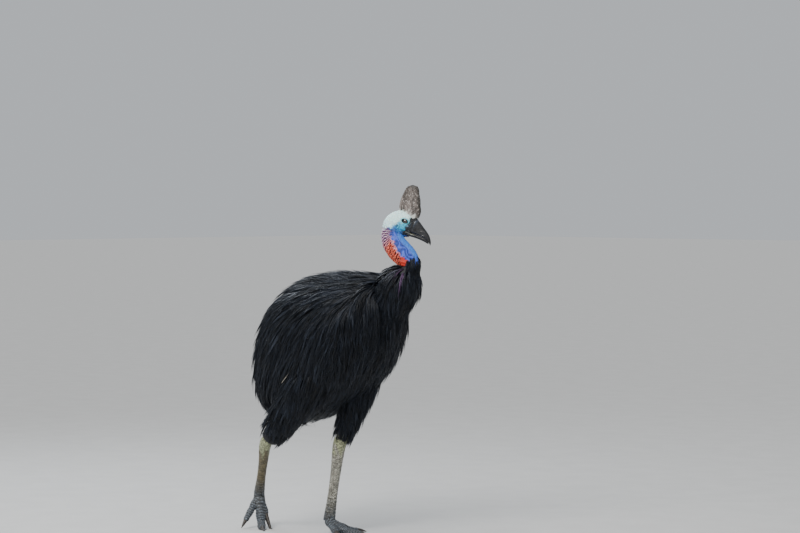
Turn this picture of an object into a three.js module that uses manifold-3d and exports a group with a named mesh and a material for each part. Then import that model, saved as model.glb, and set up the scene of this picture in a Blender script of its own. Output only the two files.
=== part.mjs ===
// A southern cassowary in life size, standing mid-stride on the floor, in millimetres.
// +X is the way the bird faces, +Y its left side and +Z up, with the floor at z = 0.
import * as THREE from "three";
import { mergeVertices } from "three/addons/utils/BufferGeometryUtils.js";
import Module from "manifold-3d";

const wasm = await Module();
wasm.setup();

const vec = (x, y, z) => new THREE.Vector3(x, y, z);
const radians = THREE.MathUtils.degToRad;
const lerp = THREE.MathUtils.lerp;
const clamp = THREE.MathUtils.clamp;
const smooth = THREE.MathUtils.smoothstep;

// The space left between nodes that meet.
const GAP = 0.35;
const UP = vec(0, 0, 1);

// The body to the outside of its coat: the height of back and belly and half the width at each x.
const BODY_STATIONS = [
  { x: -458, top: 752, bottom: 716, half: 14 },
  { x: -440, top: 835, bottom: 610, half: 90 },
  { x: -398, top: 930, bottom: 520, half: 146 },
  { x: -330, top: 1020, bottom: 478, half: 194 },
  { x: -230, top: 1085, bottom: 468, half: 229 },
  { x: -115, top: 1120, bottom: 490, half: 245 },
  { x: 0, top: 1130, bottom: 540, half: 244 },
  { x: 110, top: 1126, bottom: 610, half: 228 },
  { x: 196, top: 1130, bottom: 690, half: 194 },
  { x: 255, top: 1134, bottom: 775, half: 162 },
  { x: 305, top: 1130, bottom: 862, half: 130 },
  { x: 338, top: 1112, bottom: 930, half: 94 },
  { x: 356, top: 1080, bottom: 982, half: 50 },
  { x: 361, top: 1048, bottom: 1018, half: 10 },
];
const BODY_MIDDLE = -48;
const BODY_LENGTH = 820;
// How square the sections are, where 2 is an ellipse, and how far up they are widest.
const BODY_SQUARENESS = { above: 2.05, below: 2.5 };
const BODY_WIDEST = 0.46;
// Where the tail starts: its x, and the share of the body's outline that lies behind it.
const TAIL_FROM = -235;
const TAIL_SHARE = 0.325;

// The coat: locks of feathers, rooted in a core that lies this deep under their tips.
const CORE_DEPTH = 34;
const LOCK_SINK = 14;
const LOCK_CLEARANCE = 0.3;
const BODY_LOCKS = { tiers: 6, spacing: 156, length: 285, half: 74, thick: 9 };
const TAIL_LOCKS = { tiers: 2, spacing: 160, length: 220, half: 72, thick: 9 };
const NECK_LOCKS = { tiers: 2, spacing: 96, length: 135, half: 46, thick: 6 };
const THIGH_LOCKS = { tiers: 2, spacing: 150, length: 150, half: 54, thick: 7 };
const STRAIGHTEST = { low: 0.6, high: 1.15 };
const LOCK_TAPER = [0.62, 1, 0.95, 0.65];

// The feathered base of the neck, out of the breast, and the bare neck that rises from it.
const NECK_BASE_LINE = [
  { at: vec(290, 0, 985), half: 90 },
  { at: vec(330, 0, 1040), half: 101 },
  { at: vec(366, 0, 1082), half: 98 },
  { at: vec(396, 0, 1117), half: 82 },
  { at: vec(414, 0, 1143), half: 60 },
  { at: vec(420, 0, 1160), half: 50 },
];
const NECK_LINE = [
  { at: vec(437, 0, 1142), half: 28 },
  { at: vec(434, 0, 1170), half: 32 },
  { at: vec(409, 0, 1189), half: 43 },
  { at: vec(375, 0, 1210), half: 48 },
  { at: vec(346, 0, 1232), half: 48 },
  { at: vec(323, 1, 1258), half: 47 },
  { at: vec(314, 5, 1288), half: 46 },
  { at: vec(322, 12, 1318), half: 40 },
];
const NECK_FLATNESS = 0.93;
const NAPE_FOLDS = 12;
const FOLD_HEIGHT = 3;

// The head, turned a little to the left, with its long axis pointing down to the bill.
const HEAD = { at: vec(335, 20, 1342), turn: radians(25), nod: radians(35) };
const SKULL_STATIONS = [
  { a: -50, top: -4, bottom: -48, half: 18 },
  { a: -42, top: 15, bottom: -58, half: 27 },
  { a: -27, top: 35, bottom: -60, half: 34 },
  { a: -8, top: 49, bottom: -60, half: 37 },
  { a: 14, top: 56, bottom: -57, half: 36.5 },
  { a: 34, top: 58, bottom: -51, half: 33 },
  { a: 50, top: 57, bottom: -44, half: 27 },
  { a: 62, top: 54, bottom: -38, half: 22 },
  { a: 72, top: 50, bottom: -31, half: 18.5 },
];
const EYE = { a: 30, b: 21, y: 20, radius: 14.5 };
const LID = { radius: 10, thick: 2.6, y: 31.5, long: 1.2, tall: 0.85 };
const EAR = { a: 14, b: -15, y: 37.5, radius: 6 };
const MOUTH = { a: 64, b: -12.5, y: 21, long: 13, deep: 7, tall: 1.3 };
const NOSTRIL = { a: 118, b: 19, y: 11.5, long: 6, deep: 3, tall: 1.6 };
const CASQUE_STATIONS = [
  { z: 12, rear: 18, front: 88, half: 19 },
  { z: 28, rear: 8, front: 94, half: 19 },
  { z: 46, rear: 2, front: 97, half: 17.5 },
  { z: 64, rear: 1, front: 96, half: 15 },
  { z: 88, rear: 7, front: 94, half: 12.5 },
  { z: 113, rear: 18, front: 91, half: 10 },
  { z: 133, rear: 28, front: 88, half: 8 },
  { z: 145, rear: 37, front: 82, half: 5.5 },
];
const CASQUE_TOP = vec(60, 0, 151);
const BILL_UPPER = [
  { a: 68, top: 52, bottom: -11, half: 19 },
  { a: 84, top: 48, bottom: -6, half: 15.5 },
  { a: 104, top: 41.5, bottom: 0, half: 12.5 },
  { a: 124, top: 35.5, bottom: 5.5, half: 10 },
  { a: 142, top: 28.5, bottom: 7.5, half: 7.8 },
  { a: 157, top: 18, bottom: 4, half: 5.5 },
  { a: 167, top: 7.5, bottom: -2.5, half: 3.2 },
];
const BILL_TIP = { a: 172, b: -4.5 };
const BILL_LOWER = [
  { a: 68, top: -12, bottom: -28, half: 16.5 },
  { a: 84, top: -7, bottom: -22, half: 13.5 },
  { a: 104, top: -1, bottom: -15, half: 10.8 },
  { a: 124, top: 4.5, bottom: -10, half: 8.3 },
  { a: 142, top: 6.5, bottom: -6.5, half: 6 },
  { a: 155, top: 3, bottom: -5.5, half: 3.6 },
];
const BILL_LOWER_TIP = { a: 161, b: -2.5 };

// The legs: hip, knee, hock and foot joint of each, the way its toes point and how steeply they drop.
const LEGS = [
  {
    name: "right",
    side: -1,
    hip: vec(30, -105, 800),
    knee: vec(-55, -150, 640),
    hock: vec(-268, -188, 379),
    foot: vec(-447, -63, 150),
    heading: radians(-35),
    slope: radians(60),
    outerSlope: radians(51),
    girth: [118, 116, 104, 92, 76, 36],
  },
  {
    name: "left",
    side: 1,
    hip: vec(60, 105, 800),
    knee: vec(40, 88, 640),
    hock: vec(-22, 14, 372),
    foot: vec(-68, 0, 62),
    heading: radians(8),
    slope: radians(25),
    outerSlope: radians(25),
    girth: [110, 98, 80, 68, 55, 34],
  },
];
// The share of a thigh's line where its coat ends, and how far above the hock its shank starts.
const THIGH_END = 0.92;
const SHANK_RISE = 34;
const SHANK_HALVES = [27, 29.5, 26, 22.5, 21.5, 21.5, 23.5, 27];
const SHANK_SCUTES = 7;
const SHANK_SIDES = 10;
const SCUTE_STEP = 0.09;
const TOES = [
  { name: "inner", spread: 30, length: 98, base: 20, tip: 14.5, claw: 108, clawBase: 12, scutes: 4 },
  { name: "middle", spread: 0, length: 190, base: 23, tip: 14, claw: 46, clawBase: 10.5, scutes: 8 },
  { name: "outer", spread: -52, length: 140, base: 19, tip: 12.5, claw: 38, clawBase: 9.5, scutes: 6 },
];
const TOE_SIDES = 8;
const SOLE_SINK = 2.5;

// The wings: the forearm on the flank and the bare quills that curve down from it.
const WING = { at: vec(95, 214, 905), reach: 120, half: 34, thick: 16 };
const QUILLS = { count: 5, length: 255, thick: 5.2, spread: radians(46) };

// The wattles, two folds of bare skin that hang from the left front of the neck.
const WATTLES = [
  { name: "right", at: 0.25, round: 72, length: 74, half: 12, thick: 6.5 },
  { name: "left", at: 0.24, round: 122, length: 82, half: 12, thick: 6.5 },
];

const COLOURS = {
  plumage: [0x0b0d12, 0.75],
  crown: [0xbfe3e2, 0.6],
  neck: [0x2c5fc4, 0.6],
  casque: [0x7d6a58, 0.7],
  bill: [0x17191c, 0.4],
  eye: [0x2a160c, 0.15],
  wattle: [0xc8242a, 0.55],
  shank: [0x7d7558, 0.65],
  toe: [0x4a545f, 0.65],
  claw: [0x1d1c1b, 0.4],
  quill: [0xb9b2a2, 0.5],
};

// Turns points and triangles into a closed solid, whichever way round its faces were given.
function solidFrom(points, faces) {
  const geometry = new THREE.BufferGeometry();
  const places = points.flatMap((p) => p.toArray());
  geometry.setAttribute("position", new THREE.Float32BufferAttribute(places, 3));
  geometry.setIndex(faces.flat());
  return solidOf(geometry);
}

function solidOf(geometry) {
  const bare = geometry.index ? geometry : geometry.clone();
  bare.deleteAttribute("normal");
  bare.deleteAttribute("uv");
  const merged = mergeVertices(bare, 1e-4);
  const at = merged.index.array;
  const kept = [];
  for (let i = 0; i < at.length; i += 3) {
    const [a, b, c] = [at[i], at[i + 1], at[i + 2]];
    if (a !== b && b !== c && a !== c) kept.push([a, b, c]);
  }
  const make = (triangles) =>
    new wasm.Manifold(
      new wasm.Mesh({
        numProp: 3,
        vertProperties: new Float32Array(merged.attributes.position.array),
        triVerts: new Uint32Array(triangles.flat()),
      }),
    );
  const solid = make(kept);
  return solid.volume() > 0 ? solid : make(kept.map(([a, b, c]) => [a, c, b]));
}

// The largest closed piece of a solid.
function largest(solid) {
  return solid.decompose().reduce((best, piece) => (piece.volume() > best.volume() ? piece : best));
}

// A solid cut clear of each of the others.
function clear(solid, ...others) {
  return others.reduce((left, other) => left.subtract(other), solid);
}

// A closed skin over rings of equally many points, drawn together to a point at both ends.
function skin(rings, first, last) {
  const sides = rings[0].length;
  const points = [first, ...rings.flat(), last];
  const faces = [];
  const base = 1 + (rings.length - 1) * sides;
  for (let i = 0; i < sides; i++) {
    const j = (i + 1) % sides;
    faces.push([0, 1 + j, 1 + i]);
    for (let k = 1; k < base; k += sides) {
      faces.push([k + i, k + j, k + j + sides], [k + i, k + j + sides, k + i + sides]);
    }
    faces.push([base + i, base + j, points.length - 1]);
  }
  return solidFrom(points, faces);
}

// A smooth line through named stations, each with a place "at" and other values.
function lineThrough(stations) {
  return new THREE.CatmullRomCurve3(stations.map((station) => station.at), false, "catmullrom", 0.5);
}

// A value that runs smoothly through a list, at t from 0 to 1.
function along(values, t) {
  const curve = new THREE.CatmullRomCurve3(values.map((v, i) => vec(i, v, 0)), false, "catmullrom", 0.5);
  return curve.getPoint(t).y;
}

// A ring of points about a centre: halves are the half sizes across and up, bump scales each angle.
function ring(centre, across, up, halfAcross, halfUp, sides, bump = () => 1) {
  return Array.from({ length: sides }, (_, i) => {
    const angle = (2 * Math.PI * i) / sides;
    const scale = bump(angle);
    return centre
      .clone()
      .addScaledVector(across, Math.sin(angle) * halfAcross * scale)
      .addScaledVector(up, Math.cos(angle) * halfUp * scale);
  });
}

// A tube along a curve with round ends: sizes(t) gives half sizes across and up, and a bump.
function sweep(curve, stops, sideways, sides, grow, sizes) {
  const rings = stops.map((t) => {
    const forward = curve.getTangent(t);
    const push = t === 0 ? -grow : t === 1 ? grow : 0;
    const across = sideways.clone().addScaledVector(forward, -sideways.dot(forward)).normalize();
    const up = forward.clone().cross(across);
    const size = sizes(t);
    const centre = curve.getPoint(t).addScaledVector(forward, push);
    return ring(centre, across, up, size.across, size.up, sides, size.bump);
  });
  const start = sizes(0);
  const end = sizes(1);
  const first = curve.getPoint(0).addScaledVector(curve.getTangent(0), -0.3 * start.up - grow);
  const last = curve.getPoint(1).addScaledVector(curve.getTangent(1), 0.3 * end.up + grow);
  return skin(rings, first, last);
}

function steps(count, from = 0, to = 1) {
  return Array.from({ length: count }, (_, i) => lerp(from, to, i / (count - 1)));
}

// Steps that come in close pairs, so that each band ends in a small step down.
function bands(count, from, to) {
  const width = (to - from) / count;
  return Array.from({ length: count }, (_, i) => [from + i * width, from + (i + 0.9) * width]).flat();
}

function box(low, high) {
  const size = high.clone().sub(low);
  const middle = low.clone().add(high).multiplyScalar(0.5);
  return solidOf(new THREE.BoxGeometry(size.x, size.y, size.z).translate(middle.x, middle.y, middle.z));
}

// A round form stretched by a matrix and set at a place.
function ball(centre, radius, across, down, shape = new THREE.Matrix4()) {
  const geometry = new THREE.SphereGeometry(radius, across, down).applyMatrix4(shape);
  return solidOf(geometry.translate(centre.x, centre.y, centre.z));
}

const FLOOR = box(vec(-900, -900, -200), vec(900, 900, 0));

// The body: a point of its surface, this deep under the outside of the coat.
const BODY_EDGE = new THREE.CatmullRomCurve3(
  BODY_STATIONS.map(({ x, top, bottom }) => vec(x, top, bottom)), false, "catmullrom", 0.5);
const BODY_HALF = new THREE.CatmullRomCurve3(
  BODY_STATIONS.map(({ x, half }) => vec(x, half, 0)), false, "catmullrom", 0.5);

function bodyPoint(s, angle, depth) {
  const edge = BODY_EDGE.getPoint(clamp(s, 0, 1));
  const half = BODY_HALF.getPoint(clamp(s, 0, 1)).y;
  const [top, bottom] = [edge.y, edge.z];
  const wide = lerp(bottom, top, BODY_WIDEST);
  const above = Math.cos(angle) > 0;
  const power = 2 / (above ? BODY_SQUARENESS.above : BODY_SQUARENESS.below);
  const curved = (value) => Math.sign(value) * Math.abs(value) ** power;
  const reach = Math.max(above ? top - wide : wide - bottom, 0);
  const thin = (size) => size * Math.max(1 - depth / Math.max(size, Math.abs(depth) + 6), 0);
  return vec(
    BODY_MIDDLE + (edge.x - BODY_MIDDLE) * (1 - (2 * depth) / BODY_LENGTH),
    curved(Math.sin(angle)) * thin(half),
    wide + curved(Math.cos(angle)) * thin(reach),
  );
}

function bodySolid(depth) {
  const rings = steps(15, 0.025, 0.975).map((s) =>
    Array.from({ length: 18 }, (_, i) => bodyPoint(s, (2 * Math.PI * i) / 18, depth)));
  return skin(rings, bodyPoint(0, 0, depth), bodyPoint(1, 0, depth));
}

// A seeded run of numbers from -1 to 1, the same each time.
function draws(seed) {
  let state = seed;
  return () => {
    state = (state * 16807) % 2147483647;
    return (2 * state) / 2147483647 - 1;
  };
}

// The way the coat runs at (u, v) of a surface: a point, its outward side and the step per mm.
function laid(surface, lie, givenU, v, depth) {
  const [du, dv] = [0.01, 0.06];
  const u = clamp(givenU, 0.04, 0.96);
  const place = surface(u, v, depth);
  const alongU = surface(u + du, v, depth).sub(surface(u - du, v, depth)).divideScalar(2 * du);
  const alongV = surface(u, v + dv, depth).sub(surface(u, v - dv, depth)).divideScalar(2 * dv);
  const outward = alongU.clone().cross(alongV).normalize();
  if (outward.dot(surface(u, v, depth - 5).sub(place)) < 0) outward.negate();
  const wish = lie(place, outward);
  const way = wish.addScaledVector(outward, -wish.dot(outward)).normalize();
  const [uu, vv, uv] = [alongU.dot(alongU), alongV.dot(alongV), alongU.dot(alongV)];
  const [wu, wv] = [alongU.dot(way), alongV.dot(way)];
  const scale = uu * vv - uv * uv;
  return { place, outward, way, stepU: (wu * vv - wv * uv) / scale, stepV: (wv * uu - wu * uv) / scale };
}

// One lock of feathers: it starts in the core at (u, v) of a surface, follows its lie outwards in
// one plane, and tapers to a tip at the outside of the coat.
function lock(surface, lie, u, v, form, grow) {
  const root = laid(surface, lie, u, v, CORE_DEPTH + LOCK_SINK);
  const half = form.length / 2;
  const bend = laid(surface, lie, u + root.stepU * half, v + root.stepV * half, form.thick + 5);
  const [endU, endV] = [u + (root.stepU + bend.stepU) * half, v + (root.stepV + bend.stepV) * half];
  let tip = surface(endU, endV, 1);
  if (endU < 0.02 || endU > 0.98) {
    tip = bend.place.clone().addScaledVector(bend.way, 0.5 * half).addScaledVector(UP, -0.5 * half);
  }
  const chord = tip.clone().sub(root.place);
  const straight = chord.length() / form.length;
  if (!(straight > STRAIGHTEST.low && straight < STRAIGHTEST.high)) return null;
  const across = chord.clone().cross(bend.outward).normalize();
  const control = bend.place.clone().multiplyScalar(2);
  control.addScaledVector(root.place, -0.5).addScaledVector(tip, -0.5);
  control.addScaledVector(across, -control.clone().sub(root.place).dot(across));
  const path = new THREE.QuadraticBezierCurve3(root.place, control, tip);
  const rings = LOCK_TAPER.map((share, i) => {
    const t = i / LOCK_TAPER.length;
    const forward = path.getTangent(t);
    const outward = across.clone().cross(forward);
    const wide = form.half * share + grow;
    const thick = form.thick * (1 - 0.5 * t) + grow;
    const centre = path.getPoint(t).addScaledVector(forward, i === 0 ? -grow : 0);
    return [
      centre.clone().addScaledVector(across, wide).addScaledVector(outward, -0.5 * (thick - grow)),
      centre.clone().addScaledVector(outward, thick),
      centre.clone().addScaledVector(across, -wide).addScaledVector(outward, -0.5 * (thick - grow)),
      centre.clone().addScaledVector(outward, -thick),
    ];
  });
  const start = root.place.clone().addScaledVector(path.getTangent(0), -grow - 1);
  return skin(rings, start, tip.addScaledVector(path.getTangent(1), 2 * grow));
}

// Locks all over a surface, tier by tier, from u = from to u = to.
function locks(surface, lie, form, from, to, seed, grow) {
  const draw = draws(seed);
  const found = [];
  for (let tier = 0; tier < form.tiers; tier++) {
    const u = lerp(from, to, (tier + 0.5) / form.tiers);
    const girth = steps(25).reduce((sum, t) => {
      const here = surface(u, 2 * Math.PI * t, CORE_DEPTH);
      return sum + here.distanceTo(surface(u, 2 * Math.PI * (t + 1 / 24), CORE_DEPTH));
    }, 0);
    const count = Math.max(5, Math.round(girth / form.spacing));
    for (let k = 0; k < count; k++) {
      const v = (2 * Math.PI * (k + (tier % 2) / 2 + 0.12 * draw())) / count;
      const length = form.length * (1 + 0.12 * draw());
      const varied = { ...form, length, half: form.half * (1 + 0.12 * draw()) };
      const nudge = (0.25 * (to - from) * draw()) / form.tiers;
      found.push(lock(surface, lie, u + nudge, v, varied, grow > 0 ? grow + LOCK_CLEARANCE : 0));
    }
  }
  return found.filter((piece) => piece !== null);
}

function joined(solids) {
  return wasm.Manifold.union(solids);
}

// The lie of the body's coat: back along the spine, down the flanks and straight down the breast.
function bodyLie(place, outward) {
  const breast = smooth(place.x, 60, 330);
  const rump = smooth(-place.x, 180, 430);
  const flank = 1 - smooth(outward.z, 0.1, 0.95);
  const fall = radians(14 + 50 * flank + 22 * breast + 34 * rump);
  const slope = Math.min(fall, radians(88));
  return vec(-Math.cos(slope), 0, -Math.sin(slope));
}

// The torso and the tail are the body's front and rear, each a core and its locks.
const tailPart = box(vec(-900, -600, 0), vec(TAIL_FROM - GAP, 600, 1600));

function torso(grow) {
  const part = box(vec(TAIL_FROM - grow, -600, 0), vec(900, 600, 1600));
  const core = bodySolid(CORE_DEPTH - grow).intersect(part);
  return joined([core, ...locks(bodyPoint, bodyLie, BODY_LOCKS, 0.99, TAIL_SHARE, 411, grow)]);
}

function tail(grow) {
  const core = bodySolid(CORE_DEPTH - grow).intersect(tailPart);
  return joined([core, ...locks(bodyPoint, bodyLie, TAIL_LOCKS, TAIL_SHARE, 0.1, 977, grow)]);
}

// The neck: a feathered base and a bare upper length with folds round its nape.
const NECK_BASE_CURVE = lineThrough(NECK_BASE_LINE);

function neckBasePoint(t, angle, depth) {
  const at = clamp(t, 0, 1);
  const forward = NECK_BASE_CURVE.getTangent(at);
  const across = vec(0, 1, 0);
  const up = forward.clone().cross(across);
  const half = Math.max(along(NECK_BASE_LINE.map((station) => station.half), at) - depth, 8);
  return NECK_BASE_CURVE.getPoint(at)
    .addScaledVector(across, Math.sin(angle) * half)
    .addScaledVector(up, Math.cos(angle) * half);
}

function neckBase(grow) {
  const halves = NECK_BASE_LINE.map(({ half }) => half);
  const core = sweep(NECK_BASE_CURVE, steps(9), vec(0, 1, 0), 18, grow, (t) => {
    const half = along(halves, t) - lerp(NECK_LOCKS.thick + 16, 4, t ** 3) + grow;
    return { across: half, up: half };
  });
  const lie = (place) => vec(-0.35 - 0.4 * smooth(420 - place.x, 0, 120), 0, -0.8);
  return joined([core, ...locks(neckBasePoint, lie, NECK_LOCKS, 0.93, 0.2, 67, grow)]);
}

// How far round the neck an angle is folded: the nape and both sides, not the throat.
function napeShare(angle) {
  return smooth(Math.cos(angle), -0.25, 0.35);
}

function neck(grow) {
  const curve = lineThrough(NECK_LINE);
  const halves = NECK_LINE.map(({ half }) => half);
  const folds = bands(NAPE_FOLDS, 0.37, 0.97);
  return sweep(curve, [0, 0.1, 0.2, 0.32, ...folds, 1], vec(0, 1, 0), 14, grow, (t) => {
    const half = along(halves, t) + grow;
    const raised = folds.indexOf(t) % 2 === 0;
    return {
      across: half * NECK_FLATNESS,
      up: half,
      bump: (angle) => 1 + (raised ? FOLD_HEIGHT / half : 0) * napeShare(angle),
    };
  });
}

// The head: its own axes, a forward to the bill, b up through the casque and y to its left.
const headTurn = new THREE.Matrix4()
  .makeTranslation(HEAD.at)
  .multiply(new THREE.Matrix4().makeRotationZ(HEAD.turn));
const skullTurn = headTurn.clone().multiply(new THREE.Matrix4().makeRotationY(HEAD.nod));
const inHead = (a, y, b) => vec(a, y, b).applyMatrix4(skullTurn);

// A closed form along the head's axis, from stations of top, bottom and half width, and how square
// each section is above and below its middle, where 1 is an ellipse and less is squarer.
function headForm(stations, first, last, sides, above, below, grow) {
  const rings = stations.map(({ a, top, bottom, half }, index) => {
    const end = index === 0 ? -grow : index === stations.length - 1 ? grow : 0;
    const middle = (top + bottom) / 2;
    const tall = (top - bottom) / 2 + grow;
    return Array.from({ length: sides }, (_, i) => {
      const angle = (2 * Math.PI * i) / sides;
      const curved = (value, power) => Math.sign(value) * Math.abs(value) ** power;
      const y = curved(Math.sin(angle), Math.max(above, below)) * (half + grow);
      const power = Math.cos(angle) > 0 ? above : below;
      return inHead(a + end, y, middle + curved(Math.cos(angle), power) * tall);
    });
  });
  return skin(rings, first, last);
}

// Stations drawn closer together by a smooth line through them.
function denser(stations, count) {
  const keys = Object.keys(stations[0]);
  const lists = keys.map((key) => stations.map((station) => station[key]));
  return steps(count).map((t) => Object.fromEntries(keys.map((key, i) => [key, along(lists[i], t)])));
}

function skull(grow) {
  const first = inHead(-52.5 - grow, 0, -27);
  const last = inHead(72.5 + grow, 0, 9);
  return headForm(denser(SKULL_STATIONS, 13), first, last, 20, 0.92, 0.92, grow);
}

function eyeCentre(side) {
  return inHead(EYE.a, side * EYE.y, EYE.b);
}

function eye(side, grow) {
  return ball(eyeCentre(side), EYE.radius + grow, 10, 7);
}

// A small round form lying along the head's own axes, of half sizes long, deep and tall.
function headBall({ a, b, y, long, deep, tall }, side) {
  const shape = new THREE.Matrix4().extractRotation(skullTurn).scale(vec(long, deep, tall));
  return ball(inHead(a, side * y, b), 1, 10, 6, shape);
}

// The lids are a raised almond round each eye.
function lids(side) {
  const shape = new THREE.Matrix4()
    .makeTranslation(EYE.a, side * LID.y, EYE.b)
    .multiply(new THREE.Matrix4().makeRotationX(Math.PI / 2))
    .scale(vec(LID.long, LID.tall, 1))
    .premultiply(skullTurn);
  return solidOf(new THREE.TorusGeometry(LID.radius, LID.thick, 6, 14).applyMatrix4(shape));
}

function head() {
  let solid = skull(0);
  for (const side of [-1, 1]) {
    const ear = ball(inHead(EAR.a, side * EAR.y, EAR.b), EAR.radius, 9, 6);
    solid = clear(solid.add(lids(side)), eye(side, GAP), ear, headBall(MOUTH, side));
  }
  return solid;
}

function billUpper(grow) {
  const last = inHead(BILL_TIP.a + grow, 0, BILL_TIP.b);
  const form = headForm(denser(BILL_UPPER, 9), inHead(68 - grow, 0, 20), last, 12, 0.85, 0.4, grow);
  return grow > 0 ? form : clear(form, headBall(NOSTRIL, -1), headBall(NOSTRIL, 1));
}

function billLower(grow) {
  const last = inHead(BILL_LOWER_TIP.a + grow, 0, BILL_LOWER_TIP.b);
  return headForm(denser(BILL_LOWER, 7), inHead(68 - grow, 0, -20), last, 12, 0.4, 0.85, grow);
}

function casque() {
  const rings = denser(CASQUE_STATIONS, 11).map(({ z, rear, front, half }) => {
    const middle = (rear + front) / 2;
    const long = (front - rear) / 2;
    return Array.from({ length: 16 }, (_, i) => {
      const angle = (2 * Math.PI * i) / 16;
      return vec(middle + long * Math.cos(angle), half * Math.sin(angle), z).applyMatrix4(headTurn);
    });
  });
  return skin(rings, vec(53, 0, 8).applyMatrix4(headTurn), CASQUE_TOP.clone().applyMatrix4(headTurn));
}

// The wattles hang from the neck's lower front.
function wattle({ at, round, length, half, thick }) {
  const curve = lineThrough(NECK_LINE);
  const forward = curve.getTangent(at);
  const left = vec(0, 1, 0);
  const front = left.clone().cross(forward);
  const angle = radians(round);
  const out = front.multiplyScalar(Math.cos(angle)).addScaledVector(left, Math.sin(angle)).normalize();
  const root = curve.getPoint(at).addScaledVector(out, along(NECK_LINE.map((s) => s.half), at) * 0.8);
  const line = new THREE.CatmullRomCurve3([
    root,
    root.clone().addScaledVector(out, 16).addScaledVector(UP, -8),
    root.clone().addScaledVector(out, 21).addScaledVector(UP, -0.55 * length),
    root.clone().addScaledVector(out, 20).addScaledVector(UP, -length),
  ]);
  const sideways = UP.clone().cross(out);
  return sweep(line, steps(8), sideways, 10, 0, (t) => ({
    across: half * along([0.5, 0.62, 0.95, 0.7, 0.3], t),
    up: thick * along([0.8, 0.9, 1, 0.9, 0.5], t),
  }));
}

// A leg: the feathered thigh down to the hock, the scaled shank, three toes and their claws.
function thighCurve({ hip, knee, hock }) {
  return new THREE.CatmullRomCurve3([hip, knee, knee.clone().lerp(hock, 0.55), hock]);
}

function thigh(leg, grow) {
  const curve = thighCurve(leg);
  const sideways = vec(-Math.sin(leg.heading), Math.cos(leg.heading), 0);
  const bare = (t) => lerp(26, 2, smooth(t, 0.75, 1));
  const core = sweep(curve, steps(11, 0, THIGH_END), sideways, 14, grow, (t) => {
    const half = along(leg.girth, t) - bare(t) + grow;
    return { across: half * 0.9, up: half };
  });
  const surface = (t, angle, depth) => {
    const at = clamp(t, 0, 1);
    const forward = curve.getTangent(at);
    const across = sideways.clone().addScaledVector(forward, -sideways.dot(forward)).normalize();
    const up = forward.clone().cross(across);
    const half = Math.max(along(leg.girth, at) - (depth * bare(at)) / 26, 6);
    return curve
      .getPoint(at)
      .addScaledVector(across, Math.sin(angle) * half * 0.9)
      .addScaledVector(up, Math.cos(angle) * half);
  };
  const lie = () => curve.getTangent(0.8).addScaledVector(UP, -0.7);
  return joined([core, ...locks(surface, lie, THIGH_LOCKS, 0.28, 0.76, 31 + leg.side, grow)]);
}

function shank({ hock, foot, heading }, grow) {
  const drop = foot.clone().sub(hock).normalize();
  const top = hock.clone().addScaledVector(drop, -SHANK_RISE - grow);
  const curve = new THREE.LineCurve3(top, foot.clone().addScaledVector(drop, 6 + grow));
  const sideways = vec(-Math.sin(heading), Math.cos(heading), 0);
  const scutes = bands(SHANK_SCUTES, 0.68, 0.96);
  return sweep(curve, [...steps(8, 0, 0.64), ...scutes, 1], sideways, SHANK_SIDES, grow, (t) => {
    const half = along(SHANK_HALVES, t) + grow;
    const raised = scutes.indexOf(t) % 2 === 0;
    const bump = (angle) => 1 + (raised ? SCUTE_STEP * smooth(Math.cos(angle), -0.3, 0.5) : 0);
    return { across: half * 0.86, up: half, bump };
  });
}

// The bend of a toe, where it comes down to the floor, and its tip.
function toePlaces(leg, toe) {
  const turn = leg.heading - leg.side * radians(toe.spread);
  const slope = toe.name === "outer" ? leg.outerSlope : leg.slope;
  const ahead = vec(Math.cos(turn), Math.sin(turn), 0);
  const down = ahead.clone().multiplyScalar(Math.cos(slope)).addScaledVector(UP, -Math.sin(slope));
  const start = leg.foot.clone().addScaledVector(down, -4);
  start.z -= 10;
  const sole = toe.tip - SOLE_SINK;
  const slanted = Math.min((start.z - sole) / Math.sin(slope), toe.length);
  const bend = start.clone().addScaledVector(down, slanted);
  const rest = toe.length - slanted;
  const onFloor = rest > 8;
  const tip = onFloor ? bend.clone().addScaledVector(ahead, rest) : bend.clone();
  return { start, bend, tip, ahead, onFloor, down, turn };
}

function toeCurve(leg, toe) {
  const { start, bend, tip, onFloor } = toePlaces(leg, toe);
  if (!onFloor) return new THREE.LineCurve3(start, tip);
  const path = new THREE.CurvePath();
  const landed = bend.clone().lerp(tip, 0.3);
  path.add(new THREE.QuadraticBezierCurve3(start, start.clone().lerp(bend, 0.8), landed));
  path.add(new THREE.LineCurve3(landed, tip));
  return path;
}

function toeSolid(leg, toe, grow) {
  const { turn } = toePlaces(leg, toe);
  const sideways = vec(-Math.sin(turn), Math.cos(turn), 0);
  const scutes = bands(toe.scutes, 0.12, 0.97);
  const solid = sweep(toeCurve(leg, toe), [0, ...scutes, 1], sideways, TOE_SIDES, grow, (t) => {
    const half = lerp(toe.base, toe.tip, t) + grow;
    const raised = scutes.indexOf(t) % 2 === 0;
    const bump = (angle) => 1 + (raised ? SCUTE_STEP * smooth(Math.cos(angle), -0.3, 0.4) : 0);
    return { across: half, up: half * 0.92, bump };
  });
  return solid;
}

function claw(leg, toe) {
  const { tip, ahead, down, onFloor } = toePlaces(leg, toe);
  const way = onFloor ? ahead : down;
  const root = tip.clone().addScaledVector(way, -2);
  const end = tip.clone().addScaledVector(way, toe.claw);
  const low = toe.clawBase * 0.3;
  if (onFloor) end.z = low;
  const middle = root.clone().lerp(end, 0.5);
  if (onFloor) middle.z = toe.tip * 0.8;
  const curve = new THREE.QuadraticBezierCurve3(root, middle, end);
  const sideways = UP.clone().cross(ahead);
  return sweep(curve, steps(5), sideways, 6, 0, (t) => {
    const half = lerp(toe.clawBase, 1.6, t ** 1.3);
    return { across: half * 0.85, up: half };
  });
}

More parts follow.
